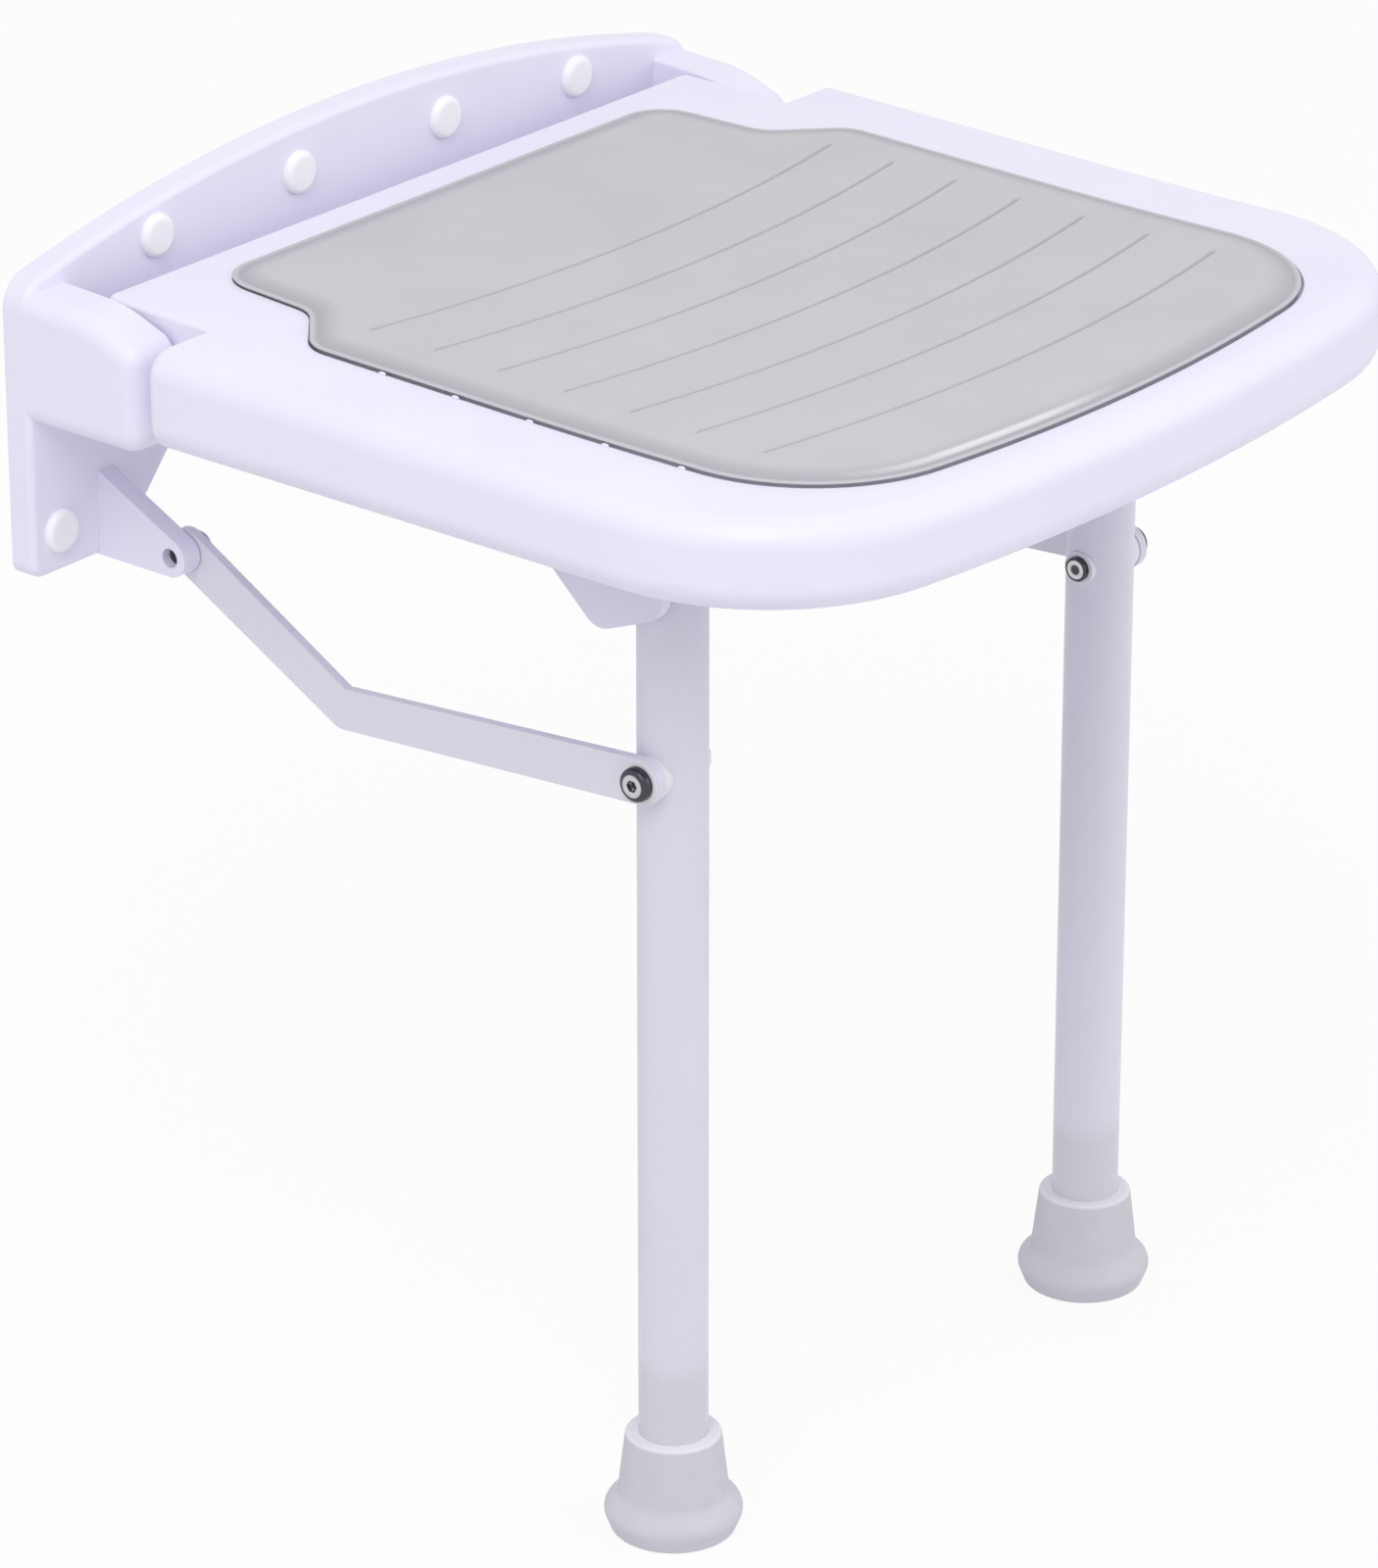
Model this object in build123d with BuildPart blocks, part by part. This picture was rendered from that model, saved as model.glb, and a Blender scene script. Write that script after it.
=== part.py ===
"""Wall-mounted folding shower seat with two legs.

Frame: millimetres, +X to the right, +Y into the wall, +Z up. The origin lies on the wall face,
on the centre line, at the height of the seat's hinge. The seat is modelled folded down.
"""

import os
from math import sqrt

from build123d import *

# Linkage, seen from the side. The four pivots are a parallelogram, so the legs stay upright.
hinge_reach = 50.0  # seat hinge in front of the wall face
leg_reach = 235.0  # leg axis in front of the seat hinge
pivot_drop = 35.0  # leg pivot below the seat hinge
link_drop = 78.0  # link pivot below the seat hinge, and below the leg pivot
link_bend_reach = 82.0  # bend of the link in front of its wall pivot
link_bend_drop = 46.0  # bend of the link below its wall pivot
floor_drop = 445.0  # floor below the seat hinge

# Wall plate
plate_half_width = 205.0
plate_thickness = 12.0
plate_edge_round = 3.0
arch_peak = 64.0  # top of the arch above the hinge
arch_shoulder = 37.0  # top of the plate's sides above the hinge
arch_corner = 14.0
lobe_width = 52.0
lobe_corner = 6.0
bridge_half_width = 108.0  # flat lower edge between the lobes
bridge_drop = 34.0
bridge_round = 30.0
pocket_width = 38.0  # hollows in the rear side
pocket_height = 22.0
pocket_rib = 5.0
pocket_floor = 4.0
pocket_columns = 3  # each side of the plain middle

# Ears of the wall plate, which hold the hinge
ear_width = 24.0
ear_reach = 70.0  # front of the ear before the wall face
ear_root = 35.0  # top of the ear at its root
ear_brow_reach = 44.0  # where the top turns down to the front
ear_brow = 32.5
ear_nose = 23.0  # top of the ear's front
ear_drop = 20.0
ear_brow_round = 60.0
ear_nose_round = 10.0
ear_bottom_round = 9.0
ear_edge_round = 8.0  # outer edges
ear_seam_round = 1.5  # edges beside the seat's neck
ear_wall = 3.5
ear_boss_radius = 11.0

# Lugs for the links
lug_thickness = 9.0
lug_tip_radius = 8.0
lug_root_drop = 50.0  # top of the lug's root below the hinge

# Wall screws and their caps
screw_hole_radius = 3.25
counterbore_radius = 6.5
counterbore_depth = 7.0
inner_screw_x = 45.0
inner_screw_inset = 19.5  # below the arch's top edge
outer_screw_x = 129.5
outer_screw_inset = 14.0
lobe_screw_inset = 15.5  # from the lobe's outer edge
lobe_screw_rise = 17.5  # above the lobe's lower edge
cap_radius = 9.0
cap_height = 3.2
cap_plug = 4.0
cap_dome = 0.8  # share of the cap's height that is rounded

# Seat shell
seat_half_width = 214.0
seat_rear = 31.0  # rear edge before the wall face
seat_front = 418.0
seat_front_sagitta = 23.0  # bow of the front edge
seat_front_corner = 90.0
seat_top = 27.0  # front of the rim above the hinge
seat_bottom = 10.0  # rim below the hinge
seat_rim_round = 11.0
seat_lip_round = 11.0
rise_start = 265.0  # the top rises from here to the rear
rise_slope = 0.022
rise_blend = 3000.0
shoulder_reach = 85.0  # rear of the shoulders before the wall face
shoulder_round = 4.0
neck_gap = 2.0  # between neck and ear
neck_corner = 4.0
neck_round = 2.0
seat_wall = 7.0
deck_thickness = 5.0
rib_thickness = 3.0
rib_pitch = 45.0
rib_clear = 6.0  # ribs end above the rim's lower edge

# Pad
pad_rear = 50.5
pad_front = 398.0
pad_front_sagitta = 19.0
pad_front_corner = 68.0
pad_rear_half_width = 136.0
pad_waist_half_width = 140.0
pad_half_width = 169.0
pad_waist = 105.0  # where the sides start to swing out
pad_hip = 130.0  # where they reach the full width
pad_swing_round = 18.0
pad_rear_corner = 20.0
pad_recess = 3.0
pad_thickness = 6.0  # at the front
pad_edge_round = 4.0
pad_clearance = 1.2
groove_count = 7
groove_pitch = 32.5
groove_front = 51.0  # foremost groove behind the pad's front
groove_width = 1.8
groove_depth = 0.9
groove_half_length = 142.0

# Hinge hardware
hinge_bolt_radius = 5.0
hinge_head_radius = 8.0
hinge_head_height = 5.0
hinge_bush_wall = 1.6
hinge_bush_flange = 1.5
hinge_boss_length = 24.0
hinge_boss_radius = 9.5
insert_radius = 7.0
insert_length = 18.0
bolt_tip_gap = 1.0  # left free beyond a bolt's tip

# Legs
leg_inset = 67.0  # leg axis inside the plate's side
tube_radius = 14.0
tube_wall = 1.5
tube_above_pivot = 9.0
plug_length = 40.0
plug_dome = 0.8  # share of the dome's height that is rounded
pivot_bolt_radius = 4.0
pivot_head_radius = 7.0
pivot_head_height = 4.5
pivot_bush_wall = 2.0

# Brackets under the seat
bracket_gap = 1.0  # between the tube and each cheek
cheek_thickness = 5.0
cheek_socket = 3.5  # depth of the blind hole in the outer cheek
cheek_pivot_radius = 11.5
cheek_lobe_radius = 10.0
cheek_lobe_back = 19.0  # lobe behind the leg axis
cheek_lobe_drop = 9.0  # lobe below the leg pivot
bracket_back = 66.0  # base plate behind the leg axis
bracket_ahead = 15.0
bracket_base = 4.0
boss_margin = 4.0  # seat's mounting boss round the base plate
bracket_screw_radius = 2.0
bracket_screw_head = 3.8
bracket_screw_length = 18.0
bracket_screw_recess = 0.2  # head inside its countersink
bracket_screw_inset = 8.0  # from the base plate's ends
bracket_screw_spread = 8.0  # from the leg axis

# Feet
foot_height = 43.0
foot_neck_radius = 19.3
foot_waist_radius = 22.5
foot_waist_height = 16.0
foot_base_radius = 29.0
foot_base_height = 10.0
foot_sole_radius = 25.0
foot_sole_thickness = 7.0
foot_disc_thickness = 1.5
foot_lip_round = 1.5
foot_flare_round = 5.0
foot_base_round = 6.0
foot_sole_round = 1.5

# Links and their hardware
link_thickness = 4.0
link_half_width = 8.75
link_eye_radius = 9.5
link_bolt_radius = 4.0
link_bush_wall = 1.5
bush_flange = 1.0
bush_flange_radius = 8.4
link_head_radius = 7.0
link_head_height = 4.0
link_head_round = 2.2
link_socket_radius = 2.6
link_socket_depth = 2.4
spacer_radius = 9.0
spacer_rim = 1.2  # spacer beyond the tube
washer_radius = 7.0
washer_rim = 0.8
saddle_wrap = 4.5  # saddles reach this far round the tube
nut_radius = 5.2
nut_height = 2.4
lug_bolt_recess = 4.0  # end of the wall bolt inside the lug's hole

# Clearances
running = 0.05  # round a turning shaft, on the radius
seated = 0.03  # between pieces fixed together
side_play = 0.3  # along a shaft, between pieces that turn

# Places worked out from the sizes above
hinge_y = -hinge_reach
leg_y = hinge_y - leg_reach
pivot_z = -pivot_drop
link_z = -link_drop
leg_link_z = pivot_z - link_drop
floor_z = -floor_drop
lobe_drop = link_drop + lug_tip_radius
ear_inner = plate_half_width - ear_width
neck_half_width = ear_inner - neck_gap
leg_offset = plate_half_width - leg_inset
tube_side = leg_offset + tube_radius
spacer_face = tube_side + spacer_rim
washer_face = leg_offset - tube_radius - washer_rim
link_inner = spacer_face + side_play
link_outer = link_inner + link_thickness
lug_inner = link_outer + 2 * side_play
deck_top = seat_top - pad_recess
deck_under = deck_top - deck_thickness
pad_lift = pad_thickness - pad_recess
bracket_half_gap = tube_radius + bracket_gap
bracket_top = -seat_bottom
tube_top = pivot_z + tube_above_pivot
tube_foot = floor_z + foot_sole_thickness + foot_disc_thickness
arch_radius = (plate_half_width**2 + (arch_peak - arch_shoulder) ** 2) / (2 * (arch_peak - arch_shoulder))
hinge_bush_radius = hinge_bolt_radius + running + hinge_bush_wall
pivot_bush_radius = pivot_bolt_radius + running + pivot_bush_wall
link_bush_radius = link_bolt_radius + running + link_bush_wall
sides = {"left": -1, "right": 1}


def arch_height(x):
    """Height of the arch's top edge at a distance from the centre line."""
    return arch_peak - arch_radius + sqrt(arch_radius**2 - x**2)


def top_height(y):
    """Height of the seat's rim at a place between front and rear."""
    return seat_top + rise_slope * max(0, y + rise_start)


screw_points = []
for sign in sides.values():
    screw_points.append((sign * inner_screw_x, arch_height(inner_screw_x) - inner_screw_inset))
    screw_points.append((sign * outer_screw_x, arch_height(outer_screw_x) - outer_screw_inset))
    screw_points.append((sign * (plate_half_width - lobe_screw_inset), lobe_screw_rise - lobe_drop))


def save(part, name):
    """Label a finished piece and write its file."""
    part.label = name
    export_step(part, f"parts/{name}.step")


def rod_on_x(x, y, z, radius, length):
    """A round bar along X that starts at x and runs for a signed length."""
    with BuildPart() as rod:
        with BuildSketch(Plane.YZ.offset(x)):
            with Locations((y, z)):
                Circle(radius)
        extrude(amount=length)
    return rod.part


def ear_profile():
    """Side outline of an ear, run on behind the wall face."""
    with BuildSketch() as profile:
        with BuildLine():
            FilletPolyline(
                (plate_thickness, ear_root),
                (-ear_brow_reach, ear_brow),
                (-ear_reach, ear_nose),
                (-ear_reach, -ear_drop),
                (plate_thickness, -ear_drop),
                radius=[ear_brow_round, ear_nose_round, ear_bottom_round],
            )
            Line((plate_thickness, -ear_drop), (plate_thickness, ear_root))
        make_face()
    return profile.sketch


def make_ear(sign):
    """One ear as a rounded block, before it is hollowed."""
    with BuildPart() as ear:
        with BuildSketch(Plane.YZ.offset(sign * ear_inner)):
            add(ear_profile())
        extrude(amount=sign * ear_width)
        for face_sign, radius in ((-sign, ear_seam_round), (sign, ear_edge_round)):
            rim = ear.faces().filter_by(Axis.X).sort_by(Axis.X, reverse=face_sign > 0)[0].edges()
            fillet(rim.filter_by(lambda e: e.center().Y < 0), radius)
        split(bisect_by=Plane.XZ, keep=Keep.TOP)
    return ear.part


def make_lug(sign):
    """Triangular lug that carries the link's rear end."""
    with BuildPart() as lug:
        with BuildSketch(Plane.YZ.offset(sign * lug_inner)):
            with Locations((hinge_y, link_z)):
                Circle(lug_tip_radius)
            with Locations((-plate_thickness, -lobe_drop)):
                Rectangle(plate_thickness / 4, lobe_drop - lug_root_drop, align=(Align.MIN, Align.MIN))
            make_hull()
        extrude(amount=sign * lug_thickness)
    return lug.part


def plate_outline():
    """Front view of the wall plate: an arch above, a lobe each side, a bridge between them."""
    lobe_inner = plate_half_width - lobe_width
    with BuildSketch() as outline:
        with BuildLine():
            ThreePointArc(
                (-plate_half_width, arch_shoulder), (0, arch_peak), (plate_half_width, arch_shoulder)
            )
            Polyline(
                (plate_half_width, arch_shoulder),
                (plate_half_width, -lobe_drop),
                (lobe_inner, -lobe_drop),
                (bridge_half_width, -bridge_drop),
                (-bridge_half_width, -bridge_drop),
                (-lobe_inner, -lobe_drop),
                (-plate_half_width, -lobe_drop),
                (-plate_half_width, arch_shoulder),
            )
        make_face()
        corners = outline.vertices().group_by(Axis.Y)
        fillet(corners[-1], arch_corner)
        corners = outline.vertices().group_by(Axis.Y)
        fillet(corners[0], lobe_corner)
        bridge_ends = outline.vertices().filter_by(lambda v: abs(v.Y + bridge_drop) < 0.01)
        fillet(bridge_ends, bridge_round)
    return outline.sketch


def make_wall_plate():
    """Arched plate with its ears, lugs, screw holes and hollow rear side."""
    hollow_width = ear_width - 2 * ear_wall
    with BuildPart() as wall_plate:
        with BuildSketch(Plane.XZ):
            add(plate_outline())
        extrude(amount=plate_thickness)
        fillet(wall_plate.faces().sort_by(Axis.Y)[0].edges(), plate_edge_round)
        for sign in sides.values():
            add(make_ear(sign))
            with BuildSketch(Plane.YZ.offset(sign * (ear_inner + ear_wall))):
                add(ear_profile())
                offset(amount=-ear_wall)
            extrude(amount=sign * hollow_width, mode=Mode.SUBTRACT)
            add(rod_on_x(sign * ear_inner, hinge_y, 0, ear_boss_radius, sign * (ear_width - ear_wall)))
            bore = rod_on_x(sign * ear_inner, hinge_y, 0, insert_radius + seated, sign * insert_length)
            add(bore, mode=Mode.SUBTRACT)
            add(make_lug(sign))
            hole = rod_on_x(
                sign * lug_inner, hinge_y, link_z, link_bolt_radius + seated, sign * lug_thickness
            )
            add(hole, mode=Mode.SUBTRACT)
        with Locations(*[Plane((x, -plate_thickness, z), z_dir=(0, -1, 0)) for x, z in screw_points]):
            CounterBoreHole(screw_hole_radius, counterbore_radius, counterbore_depth, plate_thickness)
        pitch_x = pocket_width + pocket_rib
        pitch_z = pocket_height + pocket_rib
        with BuildSketch(Plane.XZ):
            for sign in sides.values():
                middle = sign * pitch_x * (pocket_columns + 1) / 2
                with Locations((middle, 0)):
                    with GridLocations(pitch_x, pitch_z, pocket_columns, 2):
                        RectangleRounded(pocket_width, pocket_height, pocket_rib / 2)
        extrude(amount=plate_thickness - pocket_floor, mode=Mode.SUBTRACT)
    return wall_plate.part


def make_screw_caps():
    """Domed covers that plug into the counterbores of the wall screws."""
    with BuildPart() as screw_caps:
        with BuildSketch(Plane.XZ.offset(plate_thickness)):
            with Locations(*screw_points):
                Circle(cap_radius)
        extrude(amount=cap_height)
        fillet(screw_caps.edges().group_by(Axis.Y)[0], cap_dome * cap_height)
        with BuildSketch(Plane.XZ.offset(plate_thickness)):
            with Locations(*screw_points):
                Circle(counterbore_radius - seated)
        extrude(amount=-cap_plug)
    return screw_caps.part


def make_hinge_insert(sign):
    """Threaded insert in the ear."""
    with BuildPart() as insert:
        add(rod_on_x(sign * ear_inner, hinge_y, 0, insert_radius, sign * insert_length))
        thread = rod_on_x(sign * ear_inner, hinge_y, 0, hinge_bolt_radius + seated, sign * insert_length)
        add(thread, mode=Mode.SUBTRACT)
    return insert.part


def make_hinge_bolt(sign):
    """Shouldered bolt from inside the seat's neck into the ear."""
    head_face = neck_half_width - hinge_boss_length - side_play
    head_end = head_face - hinge_head_height
    shank = ear_inner + insert_length - bolt_tip_gap - head_face
    with BuildPart() as bolt:
        add(rod_on_x(sign * head_face, hinge_y, 0, hinge_bolt_radius, sign * shank))
        add(rod_on_x(sign * head_face, hinge_y, 0, hinge_head_radius, -sign * hinge_head_height))
        key = rod_on_x(sign * head_end, hinge_y, 0, hinge_bolt_radius / 2, sign * hinge_head_height / 2)
        add(key, mode=Mode.SUBTRACT)
    return bolt.part


def make_hinge_bush(sign):
    """Flanged bush in the neck, which turns on the hinge bolt."""
    inner_end = neck_half_width - hinge_boss_length
    length = hinge_boss_length + hinge_bush_flange
    with BuildPart() as bush:
        add(rod_on_x(sign * inner_end, hinge_y, 0, hinge_bush_radius, sign * length))
        add(rod_on_x(sign * neck_half_width, hinge_y, 0, hinge_boss_radius, sign * hinge_bush_flange))
        bore = rod_on_x(sign * inner_end, hinge_y, 0, hinge_bolt_radius + running, sign * length)
        add(bore, mode=Mode.SUBTRACT)
    return bush.part


def seat_plan(rear_y):
    """Plan of the seat in front of its neck, with its sides run back to a line."""
    corner_y = seat_front_sagitta - seat_front
    with BuildSketch() as plan:
        with BuildLine():
            Polyline(
                (-seat_half_width, corner_y),
                (-seat_half_width, rear_y),
                (seat_half_width, rear_y),
                (seat_half_width, corner_y),
            )
            ThreePointArc((seat_half_width, corner_y), (0, -seat_front), (-seat_half_width, corner_y))
        make_face()
        fillet(plan.vertices().group_by(Axis.Y)[0], seat_front_corner)
    return plan.sketch


def neck_plan():
    """Plan of the neck, carried on inside the seat."""
    inside_y = -shoulder_reach - 2 * shoulder_round
    with BuildSketch() as plan:
        with Locations((0, inside_y)):
            Rectangle(2 * neck_half_width, -seat_rear - inside_y, align=(Align.CENTER, Align.MIN))
        fillet(plan.vertices().group_by(Axis.Y)[-1], neck_corner)
    return plan.sketch


def pad_plan():
    """Plan of the pad."""
    corner_y = pad_front_sagitta - pad_front
    with BuildSketch() as plan:
        with BuildLine():
            for sign in sides.values():
                FilletPolyline(
                    (0, -pad_rear),
                    (sign * pad_rear_half_width, -pad_rear),
                    (sign * pad_waist_half_width, -pad_waist),
                    (sign * pad_half_width, -pad_hip),
                    (sign * pad_half_width, corner_y),
                    radius=[pad_rear_corner, pad_swing_round, pad_swing_round],
                )
            ThreePointArc((-pad_half_width, corner_y), (0, -pad_front), (pad_half_width, corner_y))
        make_face()
        fillet(plan.vertices().group_by(Axis.Y)[0], pad_front_corner)
    return plan.sketch


def top_profile(lift):
    """Side view of all below the rim's line, which bends up to the rear, raised by a lift."""
    with BuildSketch() as profile:
        with BuildLine():
            top = FilletPolyline(
                (-2 * seat_front, seat_top + lift),
                (-rise_start, seat_top + lift),
                (0, top_height(0) + lift),
                radius=rise_blend,
            )
            Polyline(top @ 1, (0, -seat_bottom), (-2 * seat_front, -seat_bottom), top @ 0)
        make_face()
    return profile.sketch


def under_top(plan, floor, lift):
    """A plan raised from a floor to the rim's bent line."""
    with BuildPart() as block:
        with BuildSketch(Plane.XY.offset(floor)):
            add(plan)
        extrude(amount=2 * seat_top)
        with BuildSketch(Plane.YZ.offset(-2 * seat_half_width)):
            add(top_profile(lift))
        extrude(amount=4 * seat_half_width, mode=Mode.INTERSECT)
    return block.part


def make_seat_body():
    """Seat in front of its neck: rolled along its sides and front, cut off and rounded at the shoulders."""
    with BuildPart() as body:
        add(under_top(seat_plan(-seat_rear), -seat_bottom, 0))
        along = body.edges().filter_by(Axis.X, reverse=True).filter_by(Axis.Z, reverse=True)
        fillet(along.filter_by(lambda e: e.center().Z > 0), seat_rim_round)
        lip = body.faces().filter_by(Axis.Z).sort_by(Axis.Z)[0].edges()
        fillet(lip.filter_by(lambda e: e.center().Y < -shoulder_reach), seat_lip_round)
        split(bisect_by=Plane.XZ.offset(shoulder_reach), keep=Keep.TOP)
        fillet(body.faces().sort_by(Axis.Y)[-1].edges(), shoulder_round)
    return body.part


def make_neck():
    """The neck between the ears, with its small edge rounds."""
    with BuildPart() as neck:
        add(under_top(neck_plan(), -seat_bottom, 0))
        rims = neck.edges().filter_by(Axis.Z, reverse=True)
        fillet(rims.filter_by(lambda e: e.center().Y > -shoulder_reach), neck_round)
    return neck.part


def cavity_plan():
    """Plan of the hollow underside, a wall's thickness inside the outline."""
    with BuildSketch() as plan:
        add(seat_plan(-shoulder_reach))
        add(neck_plan())
        offset(amount=-seat_wall)
    return plan.sketch


def rib_plan():
    """Plan of the ribs, cut to the hollow's outline."""
    first_y = hinge_y - rib_pitch / 2
    rows = int((seat_front + first_y) / rib_pitch)
    columns = 2 * int(seat_half_width / rib_pitch)
    with BuildSketch() as plan:
        with GridLocations(rib_pitch, 1, columns, 1):
            Rectangle(rib_thickness, 3 * seat_front)
        for row in range(rows + 1):
            with Locations((0, first_y - row * rib_pitch)):
                Rectangle(2 * seat_half_width, rib_thickness)
        add(cavity_plan(), mode=Mode.INTERSECT)
    return plan.sketch


def make_seat_shell():
    """Moulded seat: rolled rim, recess for the pad, ribbed and hollow underside."""
    boss_length = bracket_back + bracket_ahead + 2 * boss_margin
    boss_width = 2 * (bracket_half_gap + cheek_thickness + boss_margin)
    boss_y = leg_y + (bracket_back - bracket_ahead) / 2
    inner_end = neck_half_width - hinge_boss_length
    with BuildPart() as seat_shell:
        add(make_seat_body())
        add(make_neck())
        with BuildSketch(Plane.XY.offset(-seat_bottom)):
            add(cavity_plan())
        extrude(amount=seat_bottom + deck_under, mode=Mode.SUBTRACT)
        with BuildSketch(Plane.XY.offset(rib_clear - seat_bottom)):
            add(rib_plan())
        extrude(amount=seat_bottom + deck_under - rib_clear)
        with BuildSketch(Plane.XY.offset(-seat_bottom)):
            with Locations((-leg_offset, boss_y), (leg_offset, boss_y)):
                RectangleRounded(boss_width, boss_length, boss_margin)
        extrude(amount=seat_bottom + deck_under)
        for sign in sides.values():
            add(rod_on_x(sign * neck_half_width, hinge_y, 0, hinge_boss_radius, -sign * hinge_boss_length))
            bore = rod_on_x(
                sign * inner_end, hinge_y, 0, hinge_bush_radius + seated, sign * hinge_boss_length
            )
            add(bore, mode=Mode.SUBTRACT)
        with BuildSketch(Plane.XY.offset(deck_top)):
            add(pad_plan())
            offset(amount=pad_clearance)
        extrude(amount=seat_top, mode=Mode.SUBTRACT)
        for sign in sides.values():
            with Locations(*[Plane((x, y, -seat_bottom), z_dir=(0, 0, -1)) for x, y in screw_places(sign)]):
                Hole(bracket_screw_radius + seated, bracket_screw_length)
    return seat_shell.part


def make_seat_pad():
    """Soft insert: bent like the rim, rolled edge, bowed grooves."""
    bow_radius = (pad_half_width**2 + pad_front_sagitta**2) / (2 * pad_front_sagitta)
    with BuildPart() as seat_pad:
        add(under_top(pad_plan(), deck_top, pad_lift))
        upper = seat_pad.edges().filter_by(Axis.Z, reverse=True).filter_by(lambda e: e.center().Z > seat_top)
        across = upper.filter_by(Axis.X).filter_by(lambda e: e.center().Y < -pad_hip)
        fillet([edge for edge in upper if edge not in across], pad_edge_round)
        for number in range(groove_count):
            groove_y = groove_front - pad_front + number * groove_pitch
            with BuildSketch(Plane.XY.offset(top_height(groove_y) + pad_lift - groove_depth)):
                with Locations((0, groove_y + bow_radius)):
                    Circle(bow_radius + groove_width / 2)
                    Circle(bow_radius - groove_width / 2, mode=Mode.SUBTRACT)
                with Locations((0, groove_y)):
                    Rectangle(2 * groove_half_length, bow_radius, mode=Mode.INTERSECT)
            extrude(amount=pad_thickness, mode=Mode.SUBTRACT)
    return seat_pad.part


def screw_places(sign):
    """Places of one bracket's screws, seen from below."""
    rear = leg_y + bracket_back - bracket_screw_inset
    front = leg_y - bracket_ahead + bracket_screw_inset
    spread = bracket_screw_spread
    return [(sign * leg_offset + dx, y) for dx in (-spread, spread) for y in (rear, front)]


def make_cheek(face, length):
    """One lobed cheek of a bracket, from a face along X for a signed length."""
    base_y = leg_y + (bracket_back - bracket_ahead) / 2
    with BuildPart() as cheek:
        with BuildSketch(Plane.YZ.offset(face)):
            with Locations((leg_y, pivot_z)):
                Circle(cheek_pivot_radius)
            with Locations((leg_y + cheek_lobe_back, pivot_z - cheek_lobe_drop)):
                Circle(cheek_lobe_radius)
            with Locations((base_y, bracket_top - bracket_base / 2)):
                Rectangle(bracket_back + bracket_ahead, bracket_base)
            make_hull()
        extrude(amount=length)
    return cheek.part


def make_leg_bracket(sign):
    """U bracket: base plate under the seat and a lobed cheek each side of the leg."""
    base_z = bracket_top - bracket_base
    base_y = leg_y + (bracket_back - bracket_ahead) / 2
    outer_face = leg_offset + bracket_half_gap
    inner_face = leg_offset - bracket_half_gap
    hole_radius = pivot_bolt_radius + seated
    with BuildPart() as bracket:
        with BuildSketch(Plane.XY.offset(base_z)):
            with Locations((sign * leg_offset, base_y)):
                Rectangle(2 * bracket_half_gap, bracket_back + bracket_ahead)
        extrude(amount=bracket_base)
        add(make_cheek(sign * outer_face, sign * cheek_thickness))
        add(make_cheek(sign * inner_face, -sign * cheek_thickness))
        through = rod_on_x(sign * inner_face, leg_y, pivot_z, hole_radius, -sign * cheek_thickness)
        add(through, mode=Mode.SUBTRACT)
        socket = rod_on_x(sign * outer_face, leg_y, pivot_z, hole_radius, sign * cheek_socket)
        add(socket, mode=Mode.SUBTRACT)
        with Locations(*[Plane((x, y, base_z), z_dir=(0, 0, -1)) for x, y in screw_places(sign)]):
            CounterSinkHole(bracket_screw_radius + seated, bracket_screw_head + seated, bracket_base)
    return bracket.part


def make_bracket_screws(sign):
    """Countersunk screws that hold one bracket to the seat."""
    base_z = bracket_top - bracket_base
    head_height = bracket_screw_head - bracket_screw_radius
    length = bracket_screw_length + bracket_base - bolt_tip_gap
    places = screw_places(sign)
    with BuildPart() as screws:
        with Locations(*[(x, y, base_z) for x, y in places]):
            Cylinder(bracket_screw_radius, length, align=(Align.CENTER, Align.CENTER, Align.MIN))
            Cone(
                bracket_screw_head - bracket_screw_recess,
                bracket_screw_radius,
                head_height,
                align=(Align.CENTER, Align.CENTER, Align.MIN),
            )
    return screws.part


def make_leg_pivot_bolt(sign):
    """Bolt from the inner cheek into the outer cheek, on which the leg turns."""
    head_face = leg_offset - bracket_half_gap - cheek_thickness
    shank = 2 * bracket_half_gap + cheek_thickness + cheek_socket - side_play
    with BuildPart() as bolt:
        add(rod_on_x(sign * head_face, leg_y, pivot_z, pivot_bolt_radius, sign * shank))
        add(rod_on_x(sign * head_face, leg_y, pivot_z, pivot_head_radius, -sign * pivot_head_height))
        fillet(bolt.edges().sort_by(Axis.X, reverse=sign < 0)[0], pivot_head_height / 2)
    return bolt.part


def make_leg_pivot_bush(sign):
    """Sleeve across the leg's top, which turns on the pivot bolt."""
    half = bracket_half_gap - side_play
    with BuildPart() as bush:
        add(rod_on_x(sign * leg_offset - half, leg_y, pivot_z, pivot_bush_radius, 2 * half))
        bore = rod_on_x(sign * leg_offset - half, leg_y, pivot_z, pivot_bolt_radius + running, 2 * half)
        add(bore, mode=Mode.SUBTRACT)
    return bush.part


def make_leg_tube(sign):
    """Leg tube, cross-drilled for the pivot sleeve and the link's bolt."""
    x = sign * leg_offset
    with BuildPart() as tube:
        with BuildSketch(Plane.XY.offset(tube_foot)):
            with Locations((x, leg_y)):
                Circle(tube_radius)
                Circle(tube_radius - tube_wall, mode=Mode.SUBTRACT)
        extrude(amount=tube_top - tube_foot)
        start = x - 2 * tube_radius
        pivot = rod_on_x(start, leg_y, pivot_z, pivot_bush_radius + seated, 4 * tube_radius)
        add(pivot, mode=Mode.SUBTRACT)
        cross = rod_on_x(start, leg_y, leg_link_z, link_bolt_radius + seated, 4 * tube_radius)
        add(cross, mode=Mode.SUBTRACT)
    return tube.part


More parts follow.
